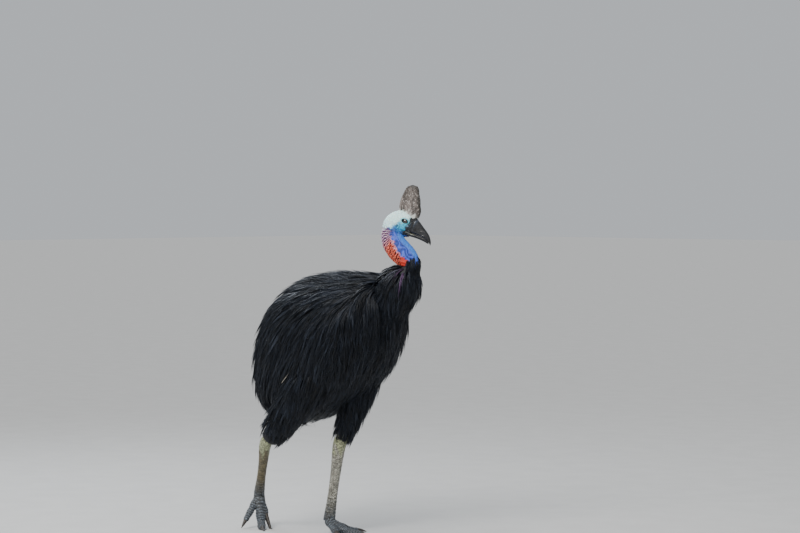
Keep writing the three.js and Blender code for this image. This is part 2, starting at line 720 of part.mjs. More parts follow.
// A wing: the feathered forearm along the flank and five bare quills that curve down and back.
function wing(side, grow) {
  const from = vec(WING.at.x, side * WING.at.y, WING.at.z);
  const middle = from.clone().add(vec(-0.5 * WING.reach, side * 12, -10));
  const to = from.clone().add(vec(-WING.reach, side * 8, -28));
  const arm = new THREE.CatmullRomCurve3([from, middle, to]);
  let solid = sweep(arm, steps(6), UP, 8, grow, (t) => ({
    across: (WING.half + grow) * along([0.55, 1, 0.95, 0.5], t),
    up: (WING.thick + grow) * along([0.6, 1, 1, 0.6], t),
  }));
  for (let i = 0; i < QUILLS.count; i++) {
    const share = i / (QUILLS.count - 1);
    const root = arm.getPoint(lerp(0.45, 0.95, share));
    const tilt = radians(28) + share * QUILLS.spread;
    const length = QUILLS.length * lerp(1, 0.8, share);
    const way = vec(-Math.sin(tilt), 0, -Math.cos(tilt));
    const out = vec(0, side, 0);
    const line = new THREE.CatmullRomCurve3([
      root.clone(),
      root.clone().addScaledVector(way, 0.35 * length).addScaledVector(out, 20),
      root.clone().addScaledVector(way, 0.7 * length).addScaledVector(out, 20 - 6 * share),
      root.clone().addScaledVector(way, length).add(vec(-14, side * 8, 0)),
    ]);
    const quill = sweep(line, steps(6), UP, 3, grow, (t) => {
      const half = QUILLS.thick * lerp(1, 0.35, t) + grow;
      return { across: half, up: half };
    });
    solid = solid.add(quill);
  }
  return solid;
}

// What is made of what, and cut clear of what it grows from.
const nodes = [];

function node(name, colour, solid) {
  const whole = largest(solid);
  nodes.push({ name, colour, solid: whole });
  return whole;
}

const wings = { right: [wing(-1, 0), wing(-1, GAP)], left: [wing(1, 0), wing(1, GAP)] };
const torsoGrown = torso(GAP);
const torsoSolid = node("torso", "plumage", clear(torso(0), wings.right[1], wings.left[1]));
node("wing_right", "quill", wings.right[0]);
node("wing_left", "quill", wings.left[0]);
const tailCut = clear(tail(0), torsoGrown, torsoSolid, wings.right[1], wings.left[1]);
const tailSolid = node("tail", "plumage", tailCut);
const bodyGrown = joined([torsoGrown, tail(GAP), torsoSolid, tailSolid]);
const neckBaseGrown = neckBase(GAP);
node("neck_base", "plumage", clear(neckBase(0), torsoGrown, torsoSolid));
const skullGrown = skull(GAP);
const neckGrown = neck(GAP);
node("neck", "neck", clear(neck(0), neckBaseGrown, skullGrown, torsoGrown));
node("head", "crown", head());
node("eye_right", "eye", eye(-1, 0));
node("eye_left", "eye", eye(1, 0));
node("bill_upper", "bill", billUpper(0).subtract(skullGrown));
node("bill_lower", "bill", billLower(0).subtract(skullGrown).subtract(billUpper(GAP)));
node("casque", "casque", casque().subtract(skullGrown).subtract(billUpper(GAP)));
for (const form of WATTLES) {
  node(`wattle_${form.name}`, "wattle", clear(wattle(form), neckGrown, neckBaseGrown));
}
for (const leg of LEGS) {
  const shankGrown = shank(leg, GAP);
  const wingGrown = wings[leg.name][1];
  node(`thigh_${leg.name}`, "plumage", clear(thigh(leg, 0), bodyGrown, wingGrown, shankGrown));
  node(`shank_${leg.name}`, "shank", shank(leg, 0).subtract(FLOOR));
  let others = shankGrown;
  for (const toe of [TOES[1], TOES[0], TOES[2]]) {
    node(`toe_${toe.name}_${leg.name}`, "toe", toeSolid(leg, toe, 0).subtract(others).subtract(FLOOR));
    others = others.add(toeSolid(leg, toe, GAP));
  }
  for (const toe of TOES) {
    node(`claw_${toe.name}_${leg.name}`, "claw", claw(leg, toe).subtract(others).subtract(FLOOR));
  }
}

// Each node's mesh, about its own middle, and the whole set on the floor about its own middle.
const bird = new THREE.Group();
for (const { name, colour, solid } of nodes) {
  const { vertProperties, triVerts, numProp } = solid.getMesh();
  const geometry = new THREE.BufferGeometry();
  const places = Float32Array.from(
    { length: (vertProperties.length / numProp) * 3 },
    (_, i) => vertProperties[Math.floor(i / 3) * numProp + (i % 3)],
  );
  geometry.setAttribute("position", new THREE.BufferAttribute(places, 3));
  geometry.setIndex(new THREE.BufferAttribute(triVerts, 1));
  const [hex, roughness] = COLOURS[colour];
  const material = new THREE.MeshStandardMaterial({ color: hex, roughness, metalness: 0 });
  const mesh = new THREE.Mesh(geometry, material);
  mesh.name = name;
  bird.add(mesh);
}
const bounds = new THREE.Box3().setFromObject(bird);
const middle = bounds.getCenter(vec(0, 0, 0));
bird.position.set(-middle.x, -middle.y, -bounds.min.z);

export default bird;
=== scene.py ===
"""A still southern cassowary in life size: bare skin, casque, bill, legs and a coat of hair-like feathers.

Shapes are worked out in millimetres about the bird's own origin and placed in the frame in metres.
"""

import bpy
import numpy as np
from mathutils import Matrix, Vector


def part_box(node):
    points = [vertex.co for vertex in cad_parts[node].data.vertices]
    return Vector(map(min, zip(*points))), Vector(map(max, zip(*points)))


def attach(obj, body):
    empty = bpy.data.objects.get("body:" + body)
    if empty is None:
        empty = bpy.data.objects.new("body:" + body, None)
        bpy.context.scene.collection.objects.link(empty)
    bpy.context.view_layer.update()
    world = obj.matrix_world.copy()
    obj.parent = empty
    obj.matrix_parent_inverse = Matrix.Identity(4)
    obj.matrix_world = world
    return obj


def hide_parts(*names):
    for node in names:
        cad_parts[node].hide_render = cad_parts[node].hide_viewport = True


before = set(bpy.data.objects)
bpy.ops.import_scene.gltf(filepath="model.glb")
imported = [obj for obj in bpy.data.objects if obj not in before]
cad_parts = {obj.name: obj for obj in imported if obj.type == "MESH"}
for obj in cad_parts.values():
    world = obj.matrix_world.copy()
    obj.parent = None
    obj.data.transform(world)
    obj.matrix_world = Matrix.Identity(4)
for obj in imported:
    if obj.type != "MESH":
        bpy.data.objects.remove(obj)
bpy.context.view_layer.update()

bl_info = {
    "name": "Still cassowary",
    "version": (1, 0, 0),
    "blender": (4, 5, 0),
    "location": "View3D > Sidebar > Cassowary",
    "description": "Builds the skin, plumage, legs, bill, casque and eyes of a still cassowary",
    "category": "Object",
}

BODY = "root"
UP = np.array([0.0, 0.0, 1.0])
DOWN = -UP
LEFT = np.array([0.0, 1.0, 0.0])

# The body to the outside of its coat: x, back, belly and half width of each station.
BODY_STATIONS = np.array([
    (-458, 752, 716, 14), (-440, 835, 610, 90), (-398, 930, 520, 146), (-330, 1020, 478, 194),
    (-230, 1085, 468, 229), (-115, 1120, 490, 245), (0, 1130, 540, 244), (110, 1126, 610, 228),
    (196, 1130, 690, 194), (255, 1134, 775, 162), (305, 1130, 862, 130), (338, 1112, 930, 94),
    (356, 1080, 982, 50), (361, 1048, 1018, 10),
], float)
BODY_MIDDLE, BODY_LENGTH = -48.0, 820.0
SQUARE_ABOVE, SQUARE_BELOW, WIDEST = 2.05, 2.5, 0.46
CORE_DEPTH = 34.0

# The feathered neck base and the bare neck: x, y, z and half width along each line.
NECK_BASE = np.array([
    (290, 0, 985, 90), (330, 0, 1040, 101), (366, 0, 1082, 98), (396, 0, 1117, 82),
    (414, 0, 1143, 60), (420, 0, 1160, 50),
], float)
NECK = np.array([
    (437, 0, 1142, 28), (434, 0, 1170, 32), (409, 0, 1189, 43), (375, 0, 1210, 48), (346, 0, 1232, 48),
    (323, 1, 1258, 47), (314, 5, 1288, 46), (322, 12, 1318, 40),
], float)
NECK_LINE, NECK_HALVES = NECK[:, :3], NECK[:, 3]
NECK_FLATNESS = 0.93
NAPE_FOLDS, SIDE_PLEATS, CORD_HEIGHT, PLEAT_HEIGHT = 26, 11, 3.0, 1.3

# The head's place and turn, and stations along it: a, top, bottom and half width.
HEAD_AT = np.array([335.0, 20.0, 1342.0])
HEAD_TURN, HEAD_NOD = np.radians(25), np.radians(35)
SKULL = np.array([
    (-50, -4, -48, 18), (-42, 15, -58, 27), (-27, 35, -60, 34), (-8, 49, -60, 37), (14, 56, -57, 36.5),
    (34, 58, -51, 33), (50, 57, -44, 27), (62, 54, -38, 22), (72, 50, -31, 18.5),
], float)
SKULL_REAR, SKULL_FRONT = (-52.5, 0, -27), (72.5, 0, 9)
EYE_A, EYE_Y, EYE_B, EYE_RADIUS = 30.0, 20.0, 21.0, 14.5
EAR_A, EAR_B = 14.0, -15.0
NOSTRIL_A = 118
# The casque's height, rear, front and half width at each station, and where it starts and ends.
CASQUE = np.array([
    (12, 18, 88, 19), (28, 8, 94, 19), (46, 2, 97, 17.5), (64, 1, 96, 15), (88, 7, 94, 12.5),
    (113, 18, 91, 10), (133, 28, 88, 8), (145, 37, 82, 5.5),
], float)
CASQUE_FOOT, CASQUE_TOP = np.array([53.0, 0.0, 8.0]), np.array([60.0, 0.0, 151.0])
# The bill halves: their stations, their tip and how square each is above and below.
BILLS = {
    "upper": (np.array([
        (60, 53, -12, 19), (68, 52, -11, 19), (84, 48, -6, 15.5), (104, 41.5, 0, 12.5), (124, 35.5, 5.5, 10),
        (142, 28.5, 7.5, 7.8), (157, 18, 4, 5.5), (167, 7.5, -2.5, 3.2),
    ], float), (172, 0, -4.5), (0.85, 0.4)),
    "lower": (np.array([
        (60, -13.5, -30, 17), (68, -11.5, -28, 16.5), (84, -6.2, -22, 13.5), (104, -0.2, -15, 10.8),
        (124, 5.4, -10, 8.3), (142, 7.4, -6.5, 6.4), (156, 4, -5.5, 4.4),
    ], float), (161, 0, -2.5), (0.4, 0.85)),
}

# The legs: joints, the way the toes point and how steeply they drop, the thigh's half widths and the colour.
LEGS = {
    "right": dict(side=-1, hip=(30, -105, 800), knee=(-55, -150, 640), hock=(-268, -188, 379),
                  foot=(-447, -63, 150), heading=np.radians(-35), slope=np.radians(60),
                  outer_slope=np.radians(51), girth=(118, 116, 104, 92, 76, 36), shade=(0.17, 0.14, 0.07)),
    "left": dict(side=1, hip=(60, 105, 800), knee=(40, 88, 640), hock=(-22, 14, 372),
                 foot=(-68, 0, 62), heading=np.radians(8), slope=np.radians(25),
                 outer_slope=np.radians(25), girth=(110, 98, 80, 68, 55, 34), shade=(0.4, 0.39, 0.33)),
}
THIGH_END, THIGH_FLATNESS = 0.92, 0.9
SHANK_HALVES, SHANK_RINGS = (33, 29, 29.5, 23, 21.5, 27), 34
# Each toe: spread, length, half width at base and tip, claw length and half width, number of scutes.
TOES = {
    "inner": (30, 98, 20, 14.5, 108, 12, 8),
    "middle": (0, 190, 23, 14, 46, 10.5, 17),
    "outer": (-52, 140, 19, 12.5, 38, 9.5, 13),
}
SOLE_SINK = 2.5

WING_AT, WING_REACH, WING_HALF, WING_THICK = (95.0, 214.0, 905.0), 120.0, 34.0, 16.0
QUILLS, QUILL_LENGTH, QUILL_HALF = 5, 255.0, 2.86
# The quill that carries the painted highlight on its tip.
HIGHLIGHTED_QUILL = 0.0
# Each wattle: share along the neck, degrees round it from the front, length and how far it hangs out.
WATTLES = {"right": (0.25, 72, 74, 0.35), "left": (0.24, 122, 82, 1.0)}

# Colours of the skin's markings, the eyes, the quills and the legs.
CHEEK, JAW, GAPE_SIDE = (0.015, 0.16, 0.52), (0.006, 0.03, 0.2), (0.012, 0.03, 0.1)
# The second colour here is a painted highlight on the black round the bill's root.
BILL_ROOT, BILL_ROOT_HIGHLIGHT, GAPE = (0.006, 0.007, 0.009), (0.2, 0.32, 0.45), (0.34, 0.36, 0.3)
LID_RIM, LID_DARK = (0.12, 0.6, 0.72), (0.006, 0.008, 0.012)
# The ear hole's colour is painted shade in its hollow.
EAR_SWIRL, EAR_HOLE_SHADE = (0.02, 0.12, 0.3), (0.015, 0.06, 0.17)
# The pleats' last two colours are a painted highlight on their tops and painted shade in their valleys.
FORENECK, PLEAT_TOP_HIGHLIGHT, PLEAT_VALLEY_SHADE = (0.06, 0.26, 0.8), (0.09, 0.15, 0.7), (0.002, 0.015, 0.14)
MAUVE, PINK_EDGE, LAVENDER = (0.34, 0.12, 0.28), (0.86, 0.5, 0.5), (0.36, 0.17, 0.42)
# The nape folds' colours: painted highlights on their crests and painted shade in their valleys, low and high
# on the neck.
LOW_CREST_HIGHLIGHT, HIGH_CREST_HIGHLIGHT = (0.92, 0.34, 0.2), (0.72, 0.6, 0.68)
LOW_VALLEY_SHADE, HIGH_VALLEY_SHADE = (0.07, 0.003, 0.005), (0.13, 0.04, 0.15)
PUPIL, IRIS = np.full(3, 0.003), (0.04, 0.014, 0.007)
IRIS_RIM, EYE_DARK = (0.012, 0.006, 0.005), (0.01, 0.009, 0.01)
# The quill tip's colour is a painted highlight.
QUILL_DARK, QUILL_TIP_HIGHLIGHT = np.array([0.008, 0.008, 0.01]), (0.42, 0.38, 0.32)
HOCK_SHADE, FOOT_SHADE = (0.42, 0.45, 0.27), (0.07, 0.088, 0.112)
RING_TOP, RING_GROOVE = (0.16, 0.17, 0.17), (0.01, 0.01, 0.011)
PLATE_TOP, PLATE_GROOVE = (0.2, 0.235, 0.27), (0.008, 0.009, 0.012)


def rotation(axis, angle):
    """The turn about the y or z axis by an angle, as a matrix on column vectors."""
    c, s = np.cos(angle), np.sin(angle)
    if axis == "y":
        return np.array([(c, 0, s), (0, 1, 0), (-s, 0, c)])
    return np.array([(c, -s, 0), (s, c, 0), (0, 0, 1)])


YAW = rotation("z", HEAD_TURN)
SKULL_TURN = YAW @ rotation("y", HEAD_NOD)


def in_head(a, y, b):
    """A place given along the head's axes, turned by its nod and yaw and moved to the head."""
    return np.stack(np.broadcast_arrays(a, y, b), -1) @ SKULL_TURN.T + HEAD_AT


def head_axes(points):
    """The places of points along the head's own axes."""
    return np.moveaxis((points - HEAD_AT) @ SKULL_TURN, -1, 0)


def eye_centre(side):
    return in_head(EYE_A, side * EYE_Y, EYE_B)


SHIFT = np.array((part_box("eye_right")[0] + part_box("eye_right")[1]) * 500.0) - eye_centre(-1)


def smooth(x, low, high):
    """0 below low, 1 above high, and 3t^2 - 2t^3 between them."""
    t = np.clip((np.asarray(x, float) - low) / (high - low), 0, 1)
    return t * t * (3 - 2 * t)


def bell(x, middle, width):
    """1 at the middle and less on both sides: e to the minus square of the distance in widths."""
    return np.exp(-((x - middle) / width) ** 2)


def squared(value, power):
    """A sine or cosine raised to a power with its sign kept: a power below 1 squares an oval."""
    return np.sign(value) * np.abs(value) ** power


def plates(x):
    """Rows of horny plates: the size of a half sine for each whole step, 0 in the grooves between."""
    return np.abs(np.sin(np.pi * x))


def unit(v):
    return v / np.maximum(np.linalg.norm(v, axis=-1, keepdims=True), 1e-9)


def ring_angles(count):
    return np.arange(count) * 2 * np.pi / count


def leftwards(turn):
    """The level way to the left of a heading."""
    return np.array([-np.sin(turn), np.cos(turn), 0])


def through(points, t):
    """A smooth line through points: between two of them the cubic whose end slopes are half the chord
    of their neighbours, with one more point in line beyond each end."""
    p = np.asarray(points, float)
    if p.ndim == 1:
        return through(p[:, None], t)[..., 0]
    p = np.vstack([2 * p[0] - p[1], p, 2 * p[-1] - p[-2]])
    x = np.clip(np.asarray(t, float), 0, 1) * (len(p) - 3)
    i = np.minimum(x.astype(int), len(p) - 4)
    w = (x - i)[..., None]
    a, b, c, d = p[i], p[i + 1], p[i + 2], p[i + 3]
    s, e = (c - a) / 2, (d - b) / 2
    return b + s * w + (3 * (c - b) - 2 * s - e) * w ** 2 + (2 * (b - c) + s + e) * w ** 3


def stations(table, t):
    """Each column of a table of stations, read along it as a smooth line."""
    return np.moveaxis(through(table, t), -1, 0)


def tangent(points, t):
    """The unit way a line runs at t, from two places a little before and after."""
    return unit(through(points, t + 0.004) - through(points, t - 0.004))


def along(line, t, sideways):
    """The unit ways along a line, to its side and to its top, at right angles to each other."""
    forward = tangent(line, t)
    side = unit(sideways - forward * (forward @ sideways)[:, None])
    return forward, side, np.cross(forward, side)


def bow(start, middle, end, s):
    """A bent line that leaves its start towards a middle place and reaches its end away from it."""
    return start * (1 - s) ** 2 + 2 * middle * s * (1 - s) + end * s ** 2


def waves(p, size, seed, count=5):
    """A soft random field about 0: sine waves of one size in random directions, added up."""
    rng = np.random.default_rng(seed)
    ways = unit(rng.normal(size=(count, 3))) * (2 * np.pi / size)
    phases = rng.uniform(0, 2 * np.pi, count)
    return np.sin(p @ ways.T + phases).sum(-1) / np.sqrt(count)


def closed(rings, first, last):
    """Points and triangles of a closed skin over rings of equally many points, with a pole at each end."""
    k, s = rings.shape[:2]
    verts = np.vstack([[first], rings.reshape(-1, 3), [last]])
    i = np.arange(s)
    j = (i + 1) % s
    row = 1 + np.arange(k - 1)[:, None] * s
    a, b = row + i, row + j
    sides = np.stack([a, b, b + s, a, b + s, a + s], -1).reshape(-1, 3)
    base = 1 + (k - 1) * s
    caps = [np.stack([0 * i, 1 + j, 1 + i], -1), np.stack([base + i, base + j, 0 * i + len(verts) - 1], -1)]
    tris = np.vstack([sides, *caps])
    corner = verts[tris]
    volume = (corner[:, 0] * np.cross(corner[:, 1], corner[:, 2])).sum()
    return verts, tris if volume > 0 else tris[:, ::-1]


def sweep(line, t, sideways, across, up, bump=0.0, sides=48):
    """A tube along a line: at each stop an oval ring at right angles to it, with bump mm added outwards,
    where bump is a number or an array of stops by sides. Its ends are rounded to a pole."""
    centre = through(line, t)
    forward, side, top = along(line, t, sideways)
    angle = ring_angles(sides)
    rings = (centre[:, None] + side[:, None] * (np.sin(angle) * (across[:, None] + bump))[..., None]
             + top[:, None] * (np.cos(angle) * (up[:, None] + bump))[..., None])
    return closed(rings, centre[0] - forward[0] * 0.3 * up[0], centre[-1] + forward[-1] * 0.3 * up[-1])


def joined(*solids):
    """Several closed skins as one set of points and triangles."""
    starts = np.cumsum([0] + [len(v) for v, _ in solids])
    return np.vstack([v for v, _ in solids]), np.vstack([t + s for (_, t), s in zip(solids, starts)])


def nearest(points, places):
    """For each point the number of the nearest of some places, and how far away it is."""
    apart = ((points[:, None].astype(np.float32) - places[None].astype(np.float32)) ** 2).sum(-1)
    return apart.argmin(1), np.sqrt(apart.min(1))


def placed(name, data):
    item = bpy.data.objects.new(name, data)
    bpy.context.scene.collection.objects.link(item)
    return item


def filled(name, places, tris):
    """A mesh of points in metres and triangles."""
    mesh = bpy.data.meshes.new(name)
    mesh.vertices.add(len(places))
    mesh.vertices.foreach_set("co", places.astype(np.float32).ravel())
    mesh.loops.add(len(tris) * 3)
    mesh.loops.foreach_set("vertex_index", tris.astype(np.int32).ravel())
    mesh.polygons.add(len(tris))
    mesh.polygons.foreach_set("loop_start", np.arange(len(tris), dtype=np.int32) * 3)
    mesh.update(calc_edges=True)
    mesh.validate()
    return mesh


def mesh_piece(name, verts, tris, material, slot=None, replaces=()):
    """Makes a piece from points in mm and triangles, in its place in the frame. One with a slot rides on
    the still body and stands for the solids that it replaces."""
    mesh = filled(name, (verts + SHIFT) / 1000, tris)
    mesh.polygons.foreach_set("use_smooth", np.ones(len(tris), bool))
    mesh.materials.append(material)
    piece = placed(name, mesh)
    if slot:
        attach(piece, BODY)
        if replaces:
            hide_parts(*replaces)
    return piece


def remeshed(name, verts, tris, voxel, rounds):
    """One skin round all the closed forms: a voxel remesh, then a few rounds of smoothing. Gives the
    points in mm, their outward normals and the triangles."""
    mesh = filled(name, verts, tris)
    rough = placed(name, mesh)
    wrap = rough.modifiers.new("wrap", "REMESH")
    wrap.mode = "VOXEL"
    wrap.voxel_size = voxel
    ease = rough.modifiers.new("ease", "SMOOTH")
    ease.iterations = rounds
    cut = rough.modifiers.new("cut", "TRIANGULATE")
    cut.quad_method = "SHORTEST_DIAGONAL"
    whole = bpy.data.meshes.new_from_object(rough.evaluated_get(bpy.context.evaluated_depsgraph_get()))

    def read(items, what, kind):
        values = np.empty(len(items) * 3, kind)
        items.foreach_get(what, values)
        return values.reshape(-1, 3)

    points = read(whole.vertices, "co", np.float32).astype(float)
    normals = read(whole.vertices, "normal", np.float32).astype(float)
    faces = read(whole.polygons, "vertices", np.int32)
    bpy.data.objects.remove(rough)
    bpy.data.meshes.remove(mesh)
    bpy.data.meshes.remove(whole)
    return points, normals, faces


def tint(piece, colours, name="tint"):
    """Keeps a colour for each point of a piece, for its material to read."""
    layer = piece.data.attributes.new(name, "FLOAT_COLOR", "POINT")
    rgba = np.ones((len(colours), 4), np.float32)
    rgba[:, :3] = colours
    layer.data.foreach_set("color", rgba.ravel())


def painted(base, *marks):
    """Colours laid over a base one after another: each mark is a colour and its share at every point."""
    for colour, share in marks:
        base = base * (1 - share[:, None]) + np.asarray(colour) * share[:, None]
    return base


class Finish:
    """A material under way: each call adds a node, wires or sets its inputs and gives its output."""

    def __init__(self, name, **inputs):
        self.material = bpy.data.materials.new(name)
        self.material.use_nodes = True
        self.tree = self.material.node_tree
        self.shader = self.tree.nodes["Principled BSDF"]
        self.place = self.tree.nodes.new("ShaderNodeTexCoord").outputs["Object"]
        self.give(**inputs)

    def join(self, node, **inputs):
        """Wires each input that is another node's output, and sets any other to its value."""
        for name, value in inputs.items():
            socket = node.inputs[name.replace("_", " ")]
            if isinstance(value, bpy.types.NodeSocket):
                self.tree.links.new(value, socket)
            else:
                socket.default_value = (*value[:3], 1) if socket.type == "RGBA" else value

    def give(self, **inputs):
        """Joins inputs of the shader, and gives the material."""
        self.join(self.shader, **inputs)
        return self.material

    def add(self, kind, output, inputs, **settings):
        node = self.tree.nodes.new(f"ShaderNode{kind}")
        for name, value in settings.items():
            setattr(node, name, value)
        self.join(node, **inputs)
        return node.outputs[output]

    def noise(self, scale, detail=4.0, stretch=None, distortion=0.0):
        """Soft noise on object coordinates, drawn out by a stretch along each axis."""
        return self.add("TexNoise", "Fac", dict(
            Scale=scale, Detail=detail, Distortion=distortion, Vector=self.mapped(stretch)))

    def cells(self, scale, feature="F1", stretch=None):
        """Distances between scattered cells, such as scales or granules."""
        inputs = dict(Scale=scale, Vector=self.mapped(stretch))
        return self.add("TexVoronoi", "Distance", inputs, feature=feature)

    def mapped(self, stretch):
        if stretch is None:
            return self.place
        return self.add("Mapping", "Vector", dict(Scale=stretch, Vector=self.place))

    def ramp(self, source, *stops):
        """A colour for each value: stops of (place, colour)."""
        node = self.tree.nodes.new("ShaderNodeValToRGB")
        elements = node.color_ramp.elements
        while len(elements) < len(stops):
            elements.new(0.5)
        for element, (at, colour) in zip(elements, stops):
            element.position = at
            element.color = (*colour, 1)
        self.join(node, Fac=source)
        return node.outputs["Color"]

    def grey(self, source, *stops):
        return self.ramp(source, *[(at, (value,) * 3) for at, value in stops])

    def mix(self, share, first, second, blend="MIX"):
        """Two colours mixed by a share; each is an output or a plain value."""
        node = self.tree.nodes.new("ShaderNodeMix")
        node.data_type = "RGBA"
        node.blend_type = blend
        self.join(node, Factor=share, A=first, B=second)
        return next(output for output in node.outputs if output.type == "RGBA")

    def tint(self, name="tint"):
        return self.add("Attribute", "Color", {}, attribute_name=name)

    def mottled(self, share, base, low, *noise):
        """A colour darkened in soft patches down to a low share of itself."""
        return self.mix(share, base, self.grey(self.noise(*noise), (0.3, low), (0.7, 1.0)), "MULTIPLY")

    def bump(self, source, depth, strength=1.0, **under):
        """Fine relief, depth in metres, laid over the relief given as Normal."""
        relief = self.add("Bump", "Normal", dict(Height=source, Distance=depth, Strength=strength, **under))
        self.give(Normal=relief)
        return relief


def bare_skin():
    """Bare skin of head and neck: its markings, fine granules, wrinkles and flaked dry patches."""
    f = Finish("bare_skin", Subsurface_Weight=0.08, Subsurface_Scale=0.004)
    fine = f.noise(420, 5)
    flakes = f.grey(f.noise(190, 7), (0.58, 0), (0.74, 0.4))
    wrinkles = f.bump(f.noise(130, 6, distortion=0.6), 0.0035, 0.8)
    granules = f.bump(f.cells(520), 0.0012, 0.7, Normal=wrinkles)
    f.bump(fine, 0.0006, 0.6, Normal=granules)
    dry = f.mix(0.3, f.tint(), (0.5, 0.65, 0.8), "SCREEN")
    return f.give(Base_Color=f.mix(flakes, f.mottled(0.28, f.tint(), 0.3, 110, 6), dry),
                  Roughness=f.grey(fine, (0.3, 0.38), (0.7, 0.62)))


def feather_finish(sizes):
    """Long loose plumes: near black, with a painted blue sheen in streaks that varies from plume to plume,
    and a faint sheen from the shader.
    """
    f = Finish("plumage", Specular_IOR_Level=0.3, Sheen_Weight=0.03, Sheen_Roughness=0.35,
               Sheen_Tint=(0.35, 0.5, 0.8))
    # A painted blue sheen mixed into the plumes' colour in streaks.
    streak = f.grey(f.noise(240, 3, stretch=(1, 1, 0.15)), (0.45, 0), (0.8, 0.6))
    return f.give(Base_Color=f.mix(streak, f.tint(), f.mix(0.5, f.tint(), tuple(sizes.painted_sheen))),
                  Roughness=f.grey(f.noise(70, 3), (0.3, 0.34), (0.7, 0.55)))


def under_skin():
    """Dull dark skin, seen only as shadow between plumes."""
    f = Finish("under_skin", Roughness=0.7)
    f.bump(f.noise(200), 0.002)
    return f.give(Base_Color=f.ramp(f.noise(60), (0.3, (0.006, 0.006, 0.008)), (0.7, (0.016, 0.017, 0.022))))


def casque_finish():
    """Dry horn: brown-grey, streaked upwards and mottled with pale flakes and scratches."""
    f = Finish("casque_horn")
    streaks = f.noise(30, 8, stretch=(1.4, 1.4, 0.55), distortion=0.9)
    base = f.ramp(streaks, (0.3, (0.02, 0.015, 0.012)), (0.5, (0.1, 0.08, 0.07)), (0.68, (0.27, 0.23, 0.21)))
    flakes = f.grey(f.noise(210, 8, stretch=(1, 1, 0.45)), (0.57, 0), (0.66, 0.8))
    pits = f.grey(f.noise(150, 7, stretch=(1.3, 1.3, 0.5)), (0.36, 0.85), (0.46, 0))
    marked = f.mix(pits, f.mix(flakes, base, (0.46, 0.42, 0.39)), (0.012, 0.009, 0.008))
    based = f.mix(f.tint(), marked, f.mix(flakes, (0.62, 0.64, 0.6), (0.3, 0.26, 0.23)))
    ridges = f.bump(streaks, 0.004, 0.8)
    f.bump(f.noise(300, 6), 0.0012, 0.8, Normal=ridges)
    return f.give(Base_Color=f.mix(f.tint("edge"), based, (0.014, 0.012, 0.009)),
                  Roughness=f.grey(streaks, (0.3, 0.42), (0.7, 0.68)))


def bill_finish():
    """Black horn with a painted grey-blue reflection and fine scratches along the bill."""
    f = Finish("bill_horn", Coat_Weight=0.25, Coat_Roughness=0.2)
    cloud = f.noise(55, 6, distortion=0.3)
    worn = f.ramp(cloud, (0.35, (0.004, 0.004, 0.005)), (0.62, (0.014, 0.0145, 0.016)),
                  (0.8, (0.04, 0.043, 0.05)))
    marked = f.mix(f.grey(f.noise(240, 6), (0.64, 0), (0.76, 0.4)), worn, (0.1, 0.11, 0.125))
    f.bump(f.noise(180, 6), 0.0012, 0.6)
    return f.give(Base_Color=f.mix(1.0, marked, f.tint(), "ADD"),
                  Roughness=f.grey(cloud, (0.3, 0.22), (0.75, 0.5)))


def claw_finish():
    """Dark horn, brown where it has grown slowly."""
    f = Finish("claw_horn", Roughness=0.35)
    growth = f.noise(90, 6)
    f.bump(growth, 0.0015)
    return f.give(Base_Color=f.ramp(growth, (0.3, (0.012, 0.01, 0.009)), (0.7, (0.07, 0.058, 0.048))))


def eye_finish():
    """A wet eye: brown iris with rays round a black pupil, under a clear coat."""
    f = Finish("eye_glass", Roughness=0.08, Coat_Weight=1.0, Coat_Roughness=0.02, Specular_IOR_Level=0.6)
    return f.give(Base_Color=f.mottled(0.35, f.tint(), 0.3, 900, 4))


def scaled_finish(name):
    """Leg skin: horny scales of many sizes, speckled, with dirt and dark skin between them."""
    f = Finish(name)
    scales = f.cells(125, "DISTANCE_TO_EDGE", (1, 1, 0.8))
    speckles = f.grey(f.noise(170, 7), (0.47, 0), (0.6, 0.85))
    grime = f.grey(f.noise(34, 5), (0.4, 0.0), (0.75, 0.4))
    worn = f.mix(speckles, f.tint(), f.mix(0.92, f.tint(), (0.16, 0.14, 0.11), "MULTIPLY"))
    worn = f.mix(grime, worn, (0.05, 0.042, 0.03))
    relief = f.bump(f.grey(scales, (0.0, 0.0), (0.16, 1.0)), 0.0016, 0.9)
    f.bump(f.noise(300, 5), 0.0008, 0.7, Normal=relief)
    return f.give(Base_Color=f.mix(f.grey(scales, (0.0, 0.7), (0.1, 0.0)), worn, (0.018, 0.016, 0.014)),
                  Roughness=f.grey(scales, (0.0, 0.75), (0.2, 0.42)))


def quill_finish():
    """Plain horn, dark but for a painted highlight on one quill's tip."""
    f = Finish("quill_shaft")
    return f.give(Base_Color=f.mottled(0.3, f.tint(), 0.3, 150, 4))


def wattle_finish():
    """Soft red skin with paler patches."""
    f = Finish("wattle_skin", Roughness=0.45, Subsurface_Weight=0.1, Subsurface_Scale=0.004)
    f.bump(f.noise(160, 6), 0.003, 0.8)
    return f.give(Base_Color=f.ramp(f.noise(70, 5), (0.3, (0.3, 0.03, 0.05)), (0.55, (0.62, 0.07, 0.06)),
                                    (0.75, (0.7, 0.2, 0.22))))


def slimmed(size, depth):
    """A half size less by depth, never below nothing."""
    return size * np.maximum(1 - depth / np.maximum(size, np.abs(depth) + 6), 0)


